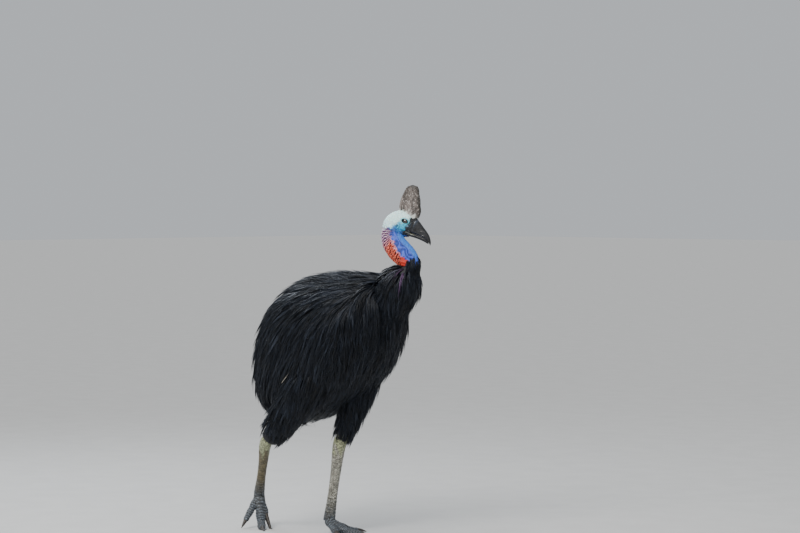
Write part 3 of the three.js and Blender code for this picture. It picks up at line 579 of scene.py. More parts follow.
def body_surface(u, v, depth):
    """The body: at share u from rump to breast and angle v round it, each half of the section is a
    squared oval whose half sizes are less by depth, and the ends draw in by depth too."""
    x, top, bottom, half = stations(BODY_STATIONS, u)
    wide = bottom + (top - bottom) * WIDEST
    above = np.cos(v) > 0
    power = 2 / np.where(above, SQUARE_ABOVE, SQUARE_BELOW)
    reach = np.maximum(np.where(above, top - wide, wide - bottom), 0)
    return np.stack([
        BODY_MIDDLE + (x - BODY_MIDDLE) * (1 - 2 * depth / BODY_LENGTH),
        squared(np.sin(v), power) * slimmed(half, depth),
        wide + squared(np.cos(v), power) * slimmed(reach, depth),
    ], -1)


def body_lie(place, outward):
    """The coat runs back along the spine, steeper down the flanks and rump, straight down the breast."""
    breast = smooth(place[:, 0], 60, 330)
    rump = smooth(-place[:, 0], 180, 430)
    flank = 1 - smooth(outward[:, 2], 0.1, 0.95)
    slope = np.radians(np.minimum(14 + 50 * flank + 22 * breast + 34 * rump, 88))
    return np.stack([-np.cos(slope), 0 * slope, -np.sin(slope)], -1)


def tube_surface(line, halves, sideways, flatness, shrink, least):
    """A coat's surface round a line: ovals at right angles to it, with half heights less by what shrink
    takes off for the place and depth, at least some mm, and half widths flatter than that."""
    def surface(u, v, depth):
        _, side, top = along(line, u, sideways)
        half = np.maximum(through(halves, u) - shrink(u, depth), least)[:, None]
        across, upwards = np.sin(v)[:, None] * half * flatness, np.cos(v)[:, None]
        return through(line, u) + side * across + top * upwards * half
    return surface


def by_depth(u, depth):
    return depth


def by_quarter_depth(u, depth):
    """The collar lies from a little under the bare skin to a little over it."""
    return 0.25 * depth - 5.5


def thigh_shrink(u, depth):
    """The whole depth down to the knee, and ever less of it near the hock, where the leg is thin."""
    return depth * (1 - smooth(u, 0.75, 1) * 0.92)


def neck_base_lie(place, outward):
    """The coat fans out from the neck: straight down in front, and ever more backwards to the nape."""
    back = 0.1 + 1.0 * smooth(-outward[:, 0], -0.75, 0.7)
    down = 1 - 0.8 * smooth(-outward[:, 0], 0.0, 0.75)
    return np.stack([-back, 0.35 * outward[:, 1] * back, -down], -1)


def collar_lie(place, outward):
    """Down, and a little backwards towards the nape."""
    back = 0.12 + 0.25 * smooth(-outward[:, 0], -0.2, 0.8)
    return np.stack([-back, 0 * back, 0 * back - 1], -1)


def thigh_line(leg):
    hip, knee, hock = (np.array(leg[key], float) for key in ("hip", "knee", "hock"))
    return np.array([hip, knee, knee + (hock - knee) * 0.55, hock])


def thigh_surface(leg):
    """A thigh's coat from hip to hock, which hangs clear of the hock as a skirt."""
    girth = (*leg["girth"][:-1], 0.72 * leg["girth"][-2])
    return tube_surface(thigh_line(leg), girth, leftwards(leg["heading"]), THIGH_FLATNESS, thigh_shrink, 6)


def thigh_lie(leg):
    """Along the thigh and down, the same everywhere."""
    way = tangent(thigh_line(leg), np.array([0.8]))[0] + 0.7 * DOWN

    def lie(place, outward):
        return np.broadcast_to(way, place.shape)
    return lie


def scattered(surface, count, low, high, rng):
    """Roots spread evenly over a surface: a grid's cells are drawn by their area."""
    u = np.linspace(low, high, 81)
    v = np.linspace(-np.pi, np.pi, 97)
    grid = surface(np.repeat(u, len(v)), np.tile(v, len(u)), CORE_DEPTH).reshape(len(u), len(v), 3)
    du, dv = np.diff(grid, axis=0)[:, :-1], np.diff(grid, axis=1)[:-1]
    area = np.linalg.norm(np.cross(du, dv), axis=-1).ravel()
    cell = rng.choice(len(area), count, p=area / area.sum())
    row, column = np.divmod(cell, len(v) - 1)
    share = rng.uniform(size=(2, count))
    return u[row] + share[0] * (u[1] - u[0]), v[column] + share[1] * (v[1] - v[0])


# A plume's rings with their share of its width, and the points in each ring and in the whole blade.
RINGS, RING_POINTS = 4, 3
BLADE_WIDTHS = np.array([0.6, 1.0, 0.9, 0.55])
BLADE_POINTS = RINGS * RING_POINTS + 1
FIRST_U, LAST_U = 0.02, 0.98
PATCH = 0.003


def blade_paths(surface, lie, u, v, length, tip_depth, sway, form):
    """Each blade's places and outward ways from root to tip. At every step it turns into the surface's
    own lie, moves on by its share of the length and rises from the core towards its tip's depth.
    Past the end of a surface, or under it, it leaves the surface, turns towards its lie and falls."""
    places, normals = [], []
    step = (length / RINGS)[:, None]
    way = None
    for k in range(RINGS + 1):
        share = k / RINGS
        depth = (CORE_DEPTH + 3) * (1 - share ** 0.55) + tip_depth * share
        near = np.clip(u, FIRST_U, LAST_U)
        here = surface(near, v, depth)
        along_u = (surface(near + 0.01, v, depth) - surface(near - 0.01, v, depth)) / 0.02
        along_v = (surface(near, v + 0.04, depth) - surface(near, v - 0.04, depth)) / 0.08
        outward = unit(np.cross(along_u, along_v))
        up = surface(near, v, depth - 5) - here
        outward *= np.sign((outward * up).sum(-1, keepdims=True) + 1e-9)
        wish = lie(here, outward) + sway * (0.4 + share) + form["sag"] * share * DOWN
        flat = unit(wish - outward * (wish * outward).sum(-1, keepdims=True))
        under = smooth(-outward[:, 2], 0.35, 1.0) * 0.55
        loose = np.maximum(under, smooth(np.abs(u - 0.5), 0.455, 0.49))[:, None]
        freed = flat
        if places:
            here = here * (1 - loose) + (places[-1] + way * step) * loose
            freed = (0.8 - form["turn"]) * way + form["turn"] * unit(wish) + form["fall"] * DOWN
        places.append(here)
        normals.append(outward)
        way = unit(flat * (1 - loose) + freed * loose)
        uu, vv = (along_u ** 2).sum(-1), (along_v ** 2).sum(-1)
        uv = (along_u * along_v).sum(-1)
        wu, wv = (along_u * way).sum(-1), (along_v * way).sum(-1)
        scale = np.maximum(uu * vv - uv * uv, 1e-3)
        u = u + np.clip((wu * vv - wv * uv) / scale * step[:, 0], -0.12, 0.12)
        v = v + np.clip((wv * uu - wu * uv) / scale * step[:, 0], -0.5, 0.5)
    return np.array(places), np.array(normals)


def strands(paths, normals, count, spread, rng):
    """The plumes of each lock: its path with a start and an end of their own, set off sideways by up to
    spread mm at the root and drawing together towards the lock's tip."""
    total = paths.shape[1] * count
    owner = np.repeat(np.arange(paths.shape[1]), count)
    share = np.arange(RINGS + 1)[:, None] / RINGS
    x = np.clip(rng.uniform(0, 0.16, total) + share * rng.uniform(0.66, 1.0, total), 0, 1.12) * RINGS
    i = np.minimum(x.astype(int), RINGS - 1)
    w = (x - i)[..., None]
    places = paths[i, owner] * (1 - w) + paths[i + 1, owner] * w
    outward = unit(normals[i, owner] * (1 - w) + normals[i + 1, owner] * w)
    side = unit(np.cross(unit(np.gradient(places, axis=0)), outward))
    gather = (1 - 0.86 * share ** 1.3)[..., None]
    aside = rng.uniform(-1, 1, total)[:, None] * spread
    wild = rng.normal(size=total)[:, None] * 5.0 * share[..., None] ** 2
    rise = rng.normal(size=total)[:, None] * 1.6
    return places + side * (aside * gather + wild) + outward * rise * share[..., None], outward, owner


def blades(places, normals, half, thick, twist):
    """Closed three-sided blades: rings of two edges and a raised rib along each path, and a tip."""
    count = places.shape[1]
    forward = unit(np.gradient(places, axis=0))
    side = unit(np.cross(forward, normals))
    top = np.cross(side, forward)
    c, s = np.cos(twist)[:, None], np.sin(twist)[:, None]
    side, top = (side * c + top * s)[:RINGS], (top * c - side * s)[:RINGS]
    wide, tall = (BLADE_WIDTHS[:, None, None] * size[:, None] for size in (half, thick))
    body = places[:RINGS]
    ring = np.stack([body + side * wide, body + top * tall, body - side * wide], 2)
    rings = ring.transpose(1, 0, 2, 3).reshape(count, BLADE_POINTS - 1, 3)
    verts = np.concatenate([rings, places[RINGS][:, None]], 1)
    i = np.arange(3)
    j = (i + 1) % 3
    row = np.arange(RINGS - 1)[:, None] * 3
    walls = np.stack([row + i, row + 3 + j, row + j, row + i, row + 3 + i, row + 3 + j], -1).reshape(-1, 3)
    last = (RINGS - 1) * 3
    cap = np.stack([last + i, 0 * i + RINGS * 3, last + j], -1)
    one = np.vstack([walls, cap, [(0, 1, 2)]])
    tris = (one[None] + (np.arange(count) * BLADE_POINTS)[:, None, None]).reshape(-1, 3)
    return verts.reshape(-1, 3), tris


# What each part of the coat has unless its own form says otherwise.
PLUMES = dict(each=6, spread=9.0, sag=0.12, turn=0.0, fall=0.3, at=(0, 1), share=(1, 1), streak=None)


def coat_piece(name, surface, lie, area, form, material, seed, sizes):
    """One piece of the coat: locks rooted at random over its area of a surface, each of several plumes,
    and each plume a small patch of the OFBake map near its root's place."""
    rng = np.random.default_rng(seed)
    form = PLUMES | form
    reach, (nearer, farther) = area
    count = int(form["count"] * sizes.density / form["each"])
    u, v = scattered(surface, count * 3, *reach, rng)
    turned = np.abs(np.degrees(v))
    inside = (turned >= nearer) & (turned <= farther)
    u, v = u[inside][:count], v[inside][:count]
    count = len(u)
    root = surface(np.clip(u, FIRST_U, LAST_U), v, CORE_DEPTH + 0 * u)
    clump = np.stack([waves(root, 90, seed + k) for k in range(3)], -1) * 0.12
    stray = rng.normal(size=(count, 3)) * 0.1
    fade = np.interp(u, form["at"], form["share"])
    length = form["length"] * fade * rng.uniform(0.7, 1.15, count) * sizes.coat_length
    lift = 9 + 6 * waves(root, 46, seed + 9) + rng.normal(size=count) * 6.5
    paths, normals = blade_paths(surface, lie, u, v, length, np.clip(lift, -6, 26), clump + stray, form)
    places, outward, owner = strands(paths, normals, form["each"], form["spread"], rng)
    total = len(owner)
    half = form["half"] * rng.uniform(0.5, 1.2, total) * sizes.blade_width
    verts, tris = blades(places, outward, half, half * 0.42, rng.normal(size=total) * 0.6)
    piece = mesh_piece(name, verts, tris, material, "plumage")

    # Each plume has a shade of its own about its lock's, and is lighter towards its tip.
    shade = 0.42 + 0.2 * waves(root, 120, seed + 5) + 0.27 * rng.normal(size=count)
    shade = np.repeat(np.clip(shade[owner] + 0.13 * rng.normal(size=total), 0, 1), BLADE_POINTS)
    tipwards = np.tile(np.append(np.repeat(np.arange(RINGS) / RINGS, RING_POINTS), 1.0), total)
    colour = painted(np.array(sizes.plume_dark), (sizes.plume_light, shade ** 1.6 * (0.4 + 0.6 * tipwards)))
    if form["streak"]:
        near = form["streak"](u, np.where(v > 1.2, v - 2 * np.pi, v))[owner]
        near = np.repeat(near, BLADE_POINTS) * (1 - smooth(tipwards, 0.45, 0.95)) * (0.6 + 0.4 * shade)
        colour = painted(colour, (LAVENDER, near))
    tint(piece, colour)

    corner = np.tile(np.append(np.tile((0.0, 0.5, 1.0), RINGS), 0.5), total)
    turn = np.mod(v, 2 * np.pi) / (2 * np.pi)
    nudge = rng.uniform(-0.006, 0.006, (2, total))
    spots = np.stack([np.repeat(0.015 + 0.96 * at[owner] + shift, BLADE_POINTS) + PATCH * within
                      for at, shift, within in zip((u, turn), nudge, (corner, tipwards))], -1)
    layer = piece.data.uv_layers.new(name="OFBake")
    layer.data.foreach_set("uv", spots[tris.ravel()].astype(np.float32).ravel())
    return piece


class BirdSizes(bpy.types.PropertyGroup):
    """The sizes and colours of the bird that a user would change."""

    density: bpy.props.FloatProperty(
        name="Plume density", description="Share of the full number of plumes",
        default=1.0, min=0.05, max=1.2)
    coat_length: bpy.props.FloatProperty(
        name="Plume length", description="Scale of the plumes' length", default=1.0, min=0.3, max=1.3)
    blade_width: bpy.props.FloatProperty(
        name="Plume width", description="Scale of the plumes' width", default=1.0, min=0.3, max=2.0)
    head_voxel: bpy.props.FloatProperty(
        name="Head detail", description="Spacing of the head and neck skin", default=0.0014, unit="LENGTH")
    leg_voxel: bpy.props.FloatProperty(
        name="Leg detail", description="Spacing of the leg skin", default=0.0018, unit="LENGTH")
    body_voxel: bpy.props.FloatProperty(
        name="Body detail", description="Spacing of the skin under the coat", default=0.008, unit="LENGTH")
    fold_height: bpy.props.FloatProperty(
        name="Nape folds", description="Height of the folds round the nape", default=0.0036, unit="LENGTH")
    plume_dark: bpy.props.FloatVectorProperty(
        name="Plume shade", description="Colour of the darkest plumes", subtype="COLOR", size=3,
        default=(0.0012, 0.0014, 0.002))
    plume_light: bpy.props.FloatVectorProperty(
        name="Plume light", description="Colour of the lightest plume tips", subtype="COLOR", size=3,
        default=(0.022, 0.028, 0.042))
    # The colour of the painted sheen streaked into the plumes.
    painted_sheen: bpy.props.FloatVectorProperty(
        name="Plume sheen", description="Blue cast of the plumes", subtype="COLOR", size=3,
        default=(0.02, 0.034, 0.066))
    crown: bpy.props.FloatVectorProperty(
        name="Crown", description="Colour of the crown's skin", subtype="COLOR", size=3,
        default=(0.7, 0.98, 0.97))
    face: bpy.props.FloatVectorProperty(
        name="Face", description="Colour of the face", subtype="COLOR", size=3, default=(0.025, 0.5, 0.74))
    neck: bpy.props.FloatVectorProperty(
        name="Neck", description="Colour of the neck's sides", subtype="COLOR", size=3,
        default=(0.006, 0.045, 0.4))
    nape: bpy.props.FloatVectorProperty(
        name="Nape", description="Colour of the folded nape", subtype="COLOR", size=3,
        default=(0.66, 0.032, 0.01))
    floor: bpy.props.FloatVectorProperty(
        name="Floor", description="Colour of the floor", subtype="COLOR", size=3, default=(0.6, 0.6, 0.59))


def head_rings(a, top, bottom, half, sides, square, first, last, bump=0.0):
    """Rings across the head's axis, each an oval of half width and half height, squared by one power
    above its middle and by another below it, where 1 is an ellipse and less is squarer."""
    angle = ring_angles(sides)
    middle, tall = (top + bottom)[:, None] / 2, (top - bottom)[:, None] / 2
    power = np.where(np.cos(angle) > 0, square[0], square[1])
    y = squared(np.sin(angle), max(square)) * (half[:, None] + bump)
    b = middle + squared(np.cos(angle), power) * (tall + bump)
    return closed(in_head(a[:, None] + 0 * y, y, b), first, last)


def neck_place(points):
    """For each point the share along the neck's line, how much it faces the nape, and its distance from
    the line as a multiple of the neck's half width there."""
    t = np.linspace(0, 1, 161)
    line = through(NECK_LINE, t)
    stop, _ = nearest(points, line)
    forward = tangent(NECK_LINE, t)[stop]
    offset = points - line[stop]
    t = t[stop] + (offset * forward).sum(-1) / 300
    nape = (unit(offset) * np.cross(forward, LEFT)).sum(-1)
    return t, nape, np.linalg.norm(offset, axis=-1) / through(NECK_HALVES, t)


def hollows(points, normals, faces):
    """How deep each point lies in a groove: how far the mean of its neighbours stands out from it, as a
    multiple of the spread of these distances over the skin."""
    total = np.zeros((len(points), 3))
    count = np.zeros(len(points))
    for first, second in ((0, 1), (1, 2), (2, 0)):
        for here, there in ((first, second), (second, first)):
            for axis in range(3):
                total[:, axis] += np.bincount(faces[:, here], points[faces[:, there], axis], len(points))
            count += np.bincount(faces[:, here], minlength=len(points))
    depth = ((total / np.maximum(count, 1)[:, None] - points) * normals).sum(-1)
    return depth / depth.std()


class CASSOWARY_OT_head(bpy.types.Operator):
    """Makes the bare skin of head and neck with its folds, lids, ear and colours"""

    bl_idname = "cassowary.head"
    bl_label = "Head and neck skin"

    def execute(self, context):
        sizes = context.scene.cassowary
        t = np.linspace(0, 1, 90)
        half = through(NECK_HALVES, t)
        neck = sweep(NECK_LINE, t, LEFT, half * NECK_FLATNESS, half, sides=96)
        skull = head_rings(*stations(SKULL, np.linspace(0, 1, 70)), 96, (0.92, 0.92),
                           in_head(*SKULL_REAR), in_head(*SKULL_FRONT))
        points, normals, faces = remeshed("head_rough", *joined(skull, neck), sizes.head_voxel * 1000, 9)
        a, y, b = head_axes(points)
        t, nape, away = neck_place(points)
        on_neck = 1 - smooth(t, 0.93, 1.02) * smooth(b, -75, -45)
        on_neck *= (1 - smooth(t, 0.9, 1.0)) * (1 - smooth(away, 1.2, 1.4) * smooth(a, 30, 40))
        on_neck *= 1 - smooth(a, 52, 60) * smooth(b, -30, -25)

        # Folds round the nape, wavy and uneven, fading out to the neck's sides and the skull.
        wobble = 0.5 * waves(points, 34, 3) + 0.35 * waves(points, 15, 4) + 0.2 * waves(points, 8, 5)
        crease = np.sin(2 * np.pi * t * NAPE_FOLDS + wobble * 2.6 + 2.2 * nape)
        reach = nape + 0.1 * waves(points, 22, 6) + 0.1 + 0.34 * smooth(t, 0.34, 0.62)
        folds = smooth(reach, -0.22, 0.12) * smooth(t, 0.24, 0.34) * on_neck
        move = folds * sizes.fold_height * 1000 * (squared(crease + 0.25, 0.7) + 0.3 * waves(points, 7, 7))
        # A cord of skin down the foreneck, and slack lengthwise pleats on the sides.
        front = smooth(-nape, 0.86, 0.99) * smooth(t, 0.08, 0.2) * on_neck
        sides = on_neck * (1 - folds) * (1 - front)
        pleat = np.sin(SIDE_PLEATS * np.arccos(np.clip(nape, -1, 1)) + 2.4 * waves(points, 38, 8))
        move += front * CORD_HEIGHT + sides * PLEAT_HEIGHT * pleat
        # Two lids round each eye, and the hole for the eyeball within them.
        lateral = smooth(np.abs(y), 12, 20)
        eye = np.hypot((a - EYE_A) / 1.42, (b - EYE_B - 0.1 * (a - EYE_A)) / 0.95)
        move += lateral * (2.6 * bell(eye, 12.2, 2.2) + 1.2 * bell(eye, 17.2, 1.6))
        move -= lateral * 9.0 * (1 - smooth(eye, 7.2, 9.8))
        # The ear, a hollow within a swirl of skin, and a groove from the gape back under the eye.
        ear = np.hypot((a - EAR_A) * 1.05, (b - EAR_B) * 0.85)
        gape = bell(b + 0.2 * (60 - a), -14, 2.0) * smooth(a, 36, 50) * lateral
        move += lateral * (2.0 * bell(ear, 8.5, 2.4) - 5.5 * bell(ear, 0, 4.2)) - 2.2 * gape
        move += 0.5 * waves(points, 11, 12) + 0.3 * waves(points, 5, 13)
        points = points + normals * move[:, None]
        groove = hollows(points, normals, faces)

        # The head: a white crown over a turquoise face, a navy jaw, black round the bill's root with a
        # painted grey-blue highlight on it.
        speck = 0.12 * waves(points, 26, 21) + 0.08 * waves(points, 9, 22)
        height = b + 26 * speck
        white = np.maximum(smooth(15 + 0.5 * b - a + 30 * speck, -10, 10), smooth(height, 28, 42))
        root = smooth(a + 4 * waves(points, 18, 23) + 0.12 * np.maximum(b - 10, 0), 40, 51)
        # A painted highlight on the black at the bill's root.
        bill_root_highlight = bell(a - 0.25 * (b - 12), 50, 5.5) * bell(b, 12, 9.0)
        bill_root_highlight *= 0.75 * smooth(waves(points, 9, 25), -1.2, 0.6)
        colour = painted(
            np.array(sizes.face), (sizes.crown, white),
            (CHEEK, (1 - smooth(height, -30, -8)) * (1 - 0.9 * white)),
            (JAW, (1 - smooth(height, -48, -24)) * (1 - white)),
            (GAPE_SIDE, smooth(a, 30, 50) * (1 - smooth(height, -24, -2))),
            (EAR_SWIRL, 0.6 * bell(ear, 12.5, 2.0) * lateral),
            (BILL_ROOT, root), (BILL_ROOT_HIGHLIGHT, bill_root_highlight), (GAPE, 0.7 * gape * smooth(a, 50, 60)),
            (LID_RIM, 0.75 * lateral * bell(eye, 11.8, 2.6) * (1 - 0.6 * root)),
            (LID_DARK, lateral * (1 - smooth(eye, 9.0, 10.8))),
            # Painted shade in the ear's hollow.
            (EAR_HOLE_SHADE, 0.9 * lateral * bell(ear, 0, 5.0)))

        # The neck: blue pleats in front and beside with painted highlights on their tops and painted shade in
        # their valleys, folds behind, red below and mauve above.
        blue = painted(
            np.array(sizes.neck), (FORENECK, 0.75 * front),
            (PLEAT_TOP_HIGHLIGHT, 0.7 * smooth(pleat + 0.5 * speck, 0.1, 0.9) * sides),
            (PLEAT_VALLEY_SHADE, 0.7 * smooth(-pleat, 0.3, 1.0) * sides))
        high = smooth(t + 0.1 * speck, 0.58, 0.76)
        # Painted highlight on the folds' crests and painted shade in their valleys.
        crest = (0.5 + 0.3 * high) * smooth(crease + 0.3 * waves(points, 5, 28), 0.1, 0.9) * folds
        valley_shade = 0.97 * smooth(-crease + 0.4 * waves(points, 6, 27) + 0.3 * (1 - high), 0.0, 0.5) * folds
        red = painted(
            np.array(sizes.nape), (MAUVE, high),
            (painted(np.array(LOW_CREST_HIGHLIGHT), (HIGH_CREST_HIGHLIGHT, high)), crest),
            (painted(np.array(LOW_VALLEY_SHADE), (HIGH_VALLEY_SHADE, high)), valley_shade))
        back = smooth(reach + 0.3 * speck + 0.08 * crease, -0.14, -0.02)
        edge = bell(reach + 0.3 * speck, -0.07, 0.07) * (1 - smooth(t, 0.66, 0.8)) * smooth(t, 0.24, 0.34)
        skin = painted(blue, (red, back), (PINK_EDGE, 0.7 * edge * smooth(waves(points, 6, 26), -1, 0.4)))
        colour = painted(colour, (skin, on_neck * (1 - smooth(t + 0.15 * speck, 0.86, 0.97))))
        # Painted shade in the skin's grooves and a painted highlight on its ridges.
        colour *= (1 - 0.6 * smooth(groove, 0.5, 2.5) + 0.25 * smooth(-groove, 0.5, 2.5))[:, None]

        piece = mesh_piece("head_neck_skin", points, faces, bare_skin(), "head_skin", ("head", "neck"))
        tint(piece, np.clip(colour, 0, 1))
        return {"FINISHED"}


class CASSOWARY_OT_eyes(bpy.types.Operator):
    """Makes both eyes, each a ball with iris and pupil turned outwards"""

    bl_idname = "cassowary.eyes"
    bl_label = "Eyes"

    def execute(self, context):
        material = eye_finish()
        for side, name in ((-1, "right"), (1, "left")):
            centre = eye_centre(side)
            gaze = unit(in_head(EYE_A + 3, side * (EYE_Y + 10), EYE_B + 0.5) - centre)
            angle = np.linspace(0.03, np.pi - 0.03, 48)[:, None, None]
            turn = ring_angles(64)[:, None]
            one = unit(np.cross(gaze, UP))
            ring = np.cos(turn) * one + np.sin(turn) * np.cross(gaze, one)
            dome = EYE_RADIUS + 0.5 * bell(angle, 0, 0.45)
            rings = centre + dome * (np.cos(angle) * gaze + np.sin(angle) * ring)
            verts, tris = closed(rings, centre + gaze * (EYE_RADIUS + 0.5), centre - gaze * EYE_RADIUS)
            piece = mesh_piece(f"eyeball_{name}", verts, tris, material, "eye", (f"eye_{name}",))
            off = np.arccos(np.clip(unit(verts - centre) @ gaze, -1, 1))
            tint(piece, painted(PUPIL, (IRIS, smooth(off, 0.26, 0.33)), (IRIS_RIM, smooth(off, 0.46, 0.56)),
                                (EYE_DARK, smooth(off, 0.55, 0.65))))
        return {"FINISHED"}


class CASSOWARY_OT_bill(bpy.types.Operator):
    """Makes the upper and lower bill with nostrils and cutting edges"""

    bl_idname = "cassowary.bill"
    bl_label = "Bill"

    def execute(self, context):
        material = bill_finish()
        angle = ring_angles(96)
        for which, (table, tip, square) in BILLS.items():
            a, top, bottom, half = stations(table, np.linspace(0, 1, 110))
            side = np.abs(np.sin(angle))[None]
            height = np.cos(angle)[None] * (top - bottom)[:, None] / 2 + (top + bottom)[:, None] / 2
            growth = np.sin(a[:, None] / 2.1 + 2 * np.cos(angle)[None]) * smooth(-a, -92, -60)[:, None]
            bump = -0.35 + 0.25 * growth
            if which == "upper":
                # The nostril's slot, the lip round it, and a ridge along the cutting edge.
                from_nostril = a[:, None] - NOSTRIL_A
                slot = np.hypot(from_nostril / 8.0, (height - 19) / 2.2)
                lip = np.hypot(from_nostril / 11.0, (height - 21) / 4.5)
                bump = bump + side * (0.8 * bell(lip, 1, 0.283) - 2.2 * bell(slot, 0, 1)
                                      + 0.9 * bell(height - bottom[:, None], 3.2, 1.6))
            first = in_head(a[0] - 2, 0, (top[0] + bottom[0]) / 2)
            verts, tris = head_rings(a, top, bottom, half, 96, square, first, in_head(*tip), bump)
            piece = mesh_piece(f"bill_{which}_horn", verts, tris, material, "bill", (f"bill_{which}",))
            ahead, _, b = head_axes(verts)
            rim = through(bottom if which == "upper" else top, np.clip((ahead - 60) / (a[-1] - 60), 0, 1))
            strip = bell(b, rim, 1.4) * (1 - smooth(ahead, 78, 96))
            # A painted grey-blue reflection on the top of each bill near its root.
            bill_reflection = bell(ahead, 62, 9) * smooth(b, 0, 14)
            tint(piece, strip[:, None] * (0.3, 0.3, 0.22) + bill_reflection[:, None] * (0.03, 0.045, 0.07))
        return {"FINISHED"}


class CASSOWARY_OT_casque(bpy.types.Operator):
    """Makes the casque, a tall thin crest of dry horn"""

    bl_idname = "cassowary.casque"
    bl_label = "Casque"

    def execute(self, context):
        z, rear, front, half = (column[:, None] for column in stations(CASQUE, np.linspace(0, 1, 120)))
        angle = ring_angles(120)
        x = (rear + front) / 2 + (front - rear) / 2 * np.cos(angle)
        y = half * squared(np.sin(angle), 1.15)
        z = z + 0 * x
        p = np.stack([x, y, z], -1)
        rough = 0.5 * waves(p * (1, 1, 0.5), 16, 41) + 0.3 * waves(p, 6, 42) + 0.15 * waves(p, 3, 43)
        y = y + np.sign(y) * rough * np.abs(np.sin(angle))
        x = x + np.cos(angle) * (rough - 0.3)
        ends = (end @ YAW.T + HEAD_AT for end in (CASQUE_FOOT, CASQUE_TOP))
        verts, tris = closed(np.stack([x, y, z], -1) @ YAW.T + HEAD_AT, *ends)
        piece = mesh_piece("casque_horn", verts, tris, casque_finish(), "casque", ("casque",))
        # Pale where it meets the head, and dark along its front edge and at the top.
        local = (verts - HEAD_AT) @ YAW
        x, z = local[:, 0], local[:, 2]
        pale = 1 - smooth(z + 0.45 * x + 7 * waves(local, 16, 44), 44, 66)
        tint(piece, np.repeat((0.85 * pale)[:, None], 3, 1))
        front = through(CASQUE[:, 2], np.clip((z - 12) / 133, 0, 1))
        edge = smooth(x - front + 4 * waves(local, 14, 45), -16, -3) + smooth(z, 128, 150)
        tint(piece, np.repeat((0.8 * np.clip(edge, 0, 1))[:, None], 3, 1), "edge")
        return {"FINISHED"}


class CASSOWARY_OT_wattles(bpy.types.Operator):
    """Makes the two wattles that hang from the left front of the neck"""

    bl_idname = "cassowary.wattles"
    bl_label = "Wattles"

    def execute(self, context):
        material = wattle_finish()
        t = np.linspace(0, 1, 70)
        angle = ring_angles(48)
        for name, (at, around, length, hang) in WATTLES.items():
            at = np.array([at])
            around = np.radians(around)
            front = np.cross(LEFT, tangent(NECK_LINE, at)[0])
            out = unit(front * np.cos(around) + LEFT * np.sin(around))
            root = through(NECK_LINE, at)[0] + out * through(NECK_HALVES, at)[0] * 0.8
            line = np.array([root + hang * out * away + DOWN * fall for away, fall in (
                (0, 0), (16, 8), (21, 0.55 * length), (20, length))])
            wrinkle = 0.5 * np.sin(t[:, None] * 60 + 2 * np.sin(angle))
            wrinkle += 0.4 * np.sin(3 * angle + t[:, None] * 9)
            wide = 12 * through((0.5, 0.62, 0.95, 0.7, 0.3), t)
            thick = 6.5 * through((0.8, 0.9, 1, 0.9, 0.5), t)
            verts, tris = sweep(line, t, np.cross(UP, out), wide, thick, wrinkle)
            mesh_piece(f"wattle_{name}_fold", verts, tris, material, "wattle", (f"wattle_{name}",))
        return {"FINISHED"}


def toe_line(leg, toe):
    """A toe's line: down its slope to the floor and on along it, and the claw's line from its tip."""
    spread, length, _, tip_half, claw, claw_half, _ = TOES[toe]
    turn = leg["heading"] - leg["side"] * np.radians(spread)
    ahead = np.array([np.cos(turn), np.sin(turn), 0])
    slope = leg["outer_slope"] if toe == "outer" else leg["slope"]
    down = ahead * np.cos(slope) + DOWN * np.sin(slope)
    start = np.array(leg["foot"], float) - down * 4 + DOWN * 10
    slanted = min((start[2] - tip_half + SOLE_SINK) / np.sin(slope), length)
    bend = start + down * slanted
    rest = length - slanted
    s = np.linspace(0, 1, 9)[:, None]
    if rest > 8:
        # It lands: a bend onto the floor, a level stretch, and a claw that dips to the floor.
        tip = bend + ahead * rest
        landed = bend + (tip - bend) * 0.3
        line = np.vstack([bow(start, start + (bend - start) * 0.8, landed, s),
                          landed + (tip - landed) * np.array([[0.34], [0.67], [1.0]])])
        root, end = tip - ahead * 2, tip + ahead * claw
        end[2] = claw_half * 0.3
        middle = (root + end) / 2
        middle[2] = tip_half * 0.8
    else:
        line = start + (bend - start) * s
        root, end = bend - down * 2, bend + down * claw
        middle = (root + end) / 2
    return line, bow(root, middle, end, s), turn


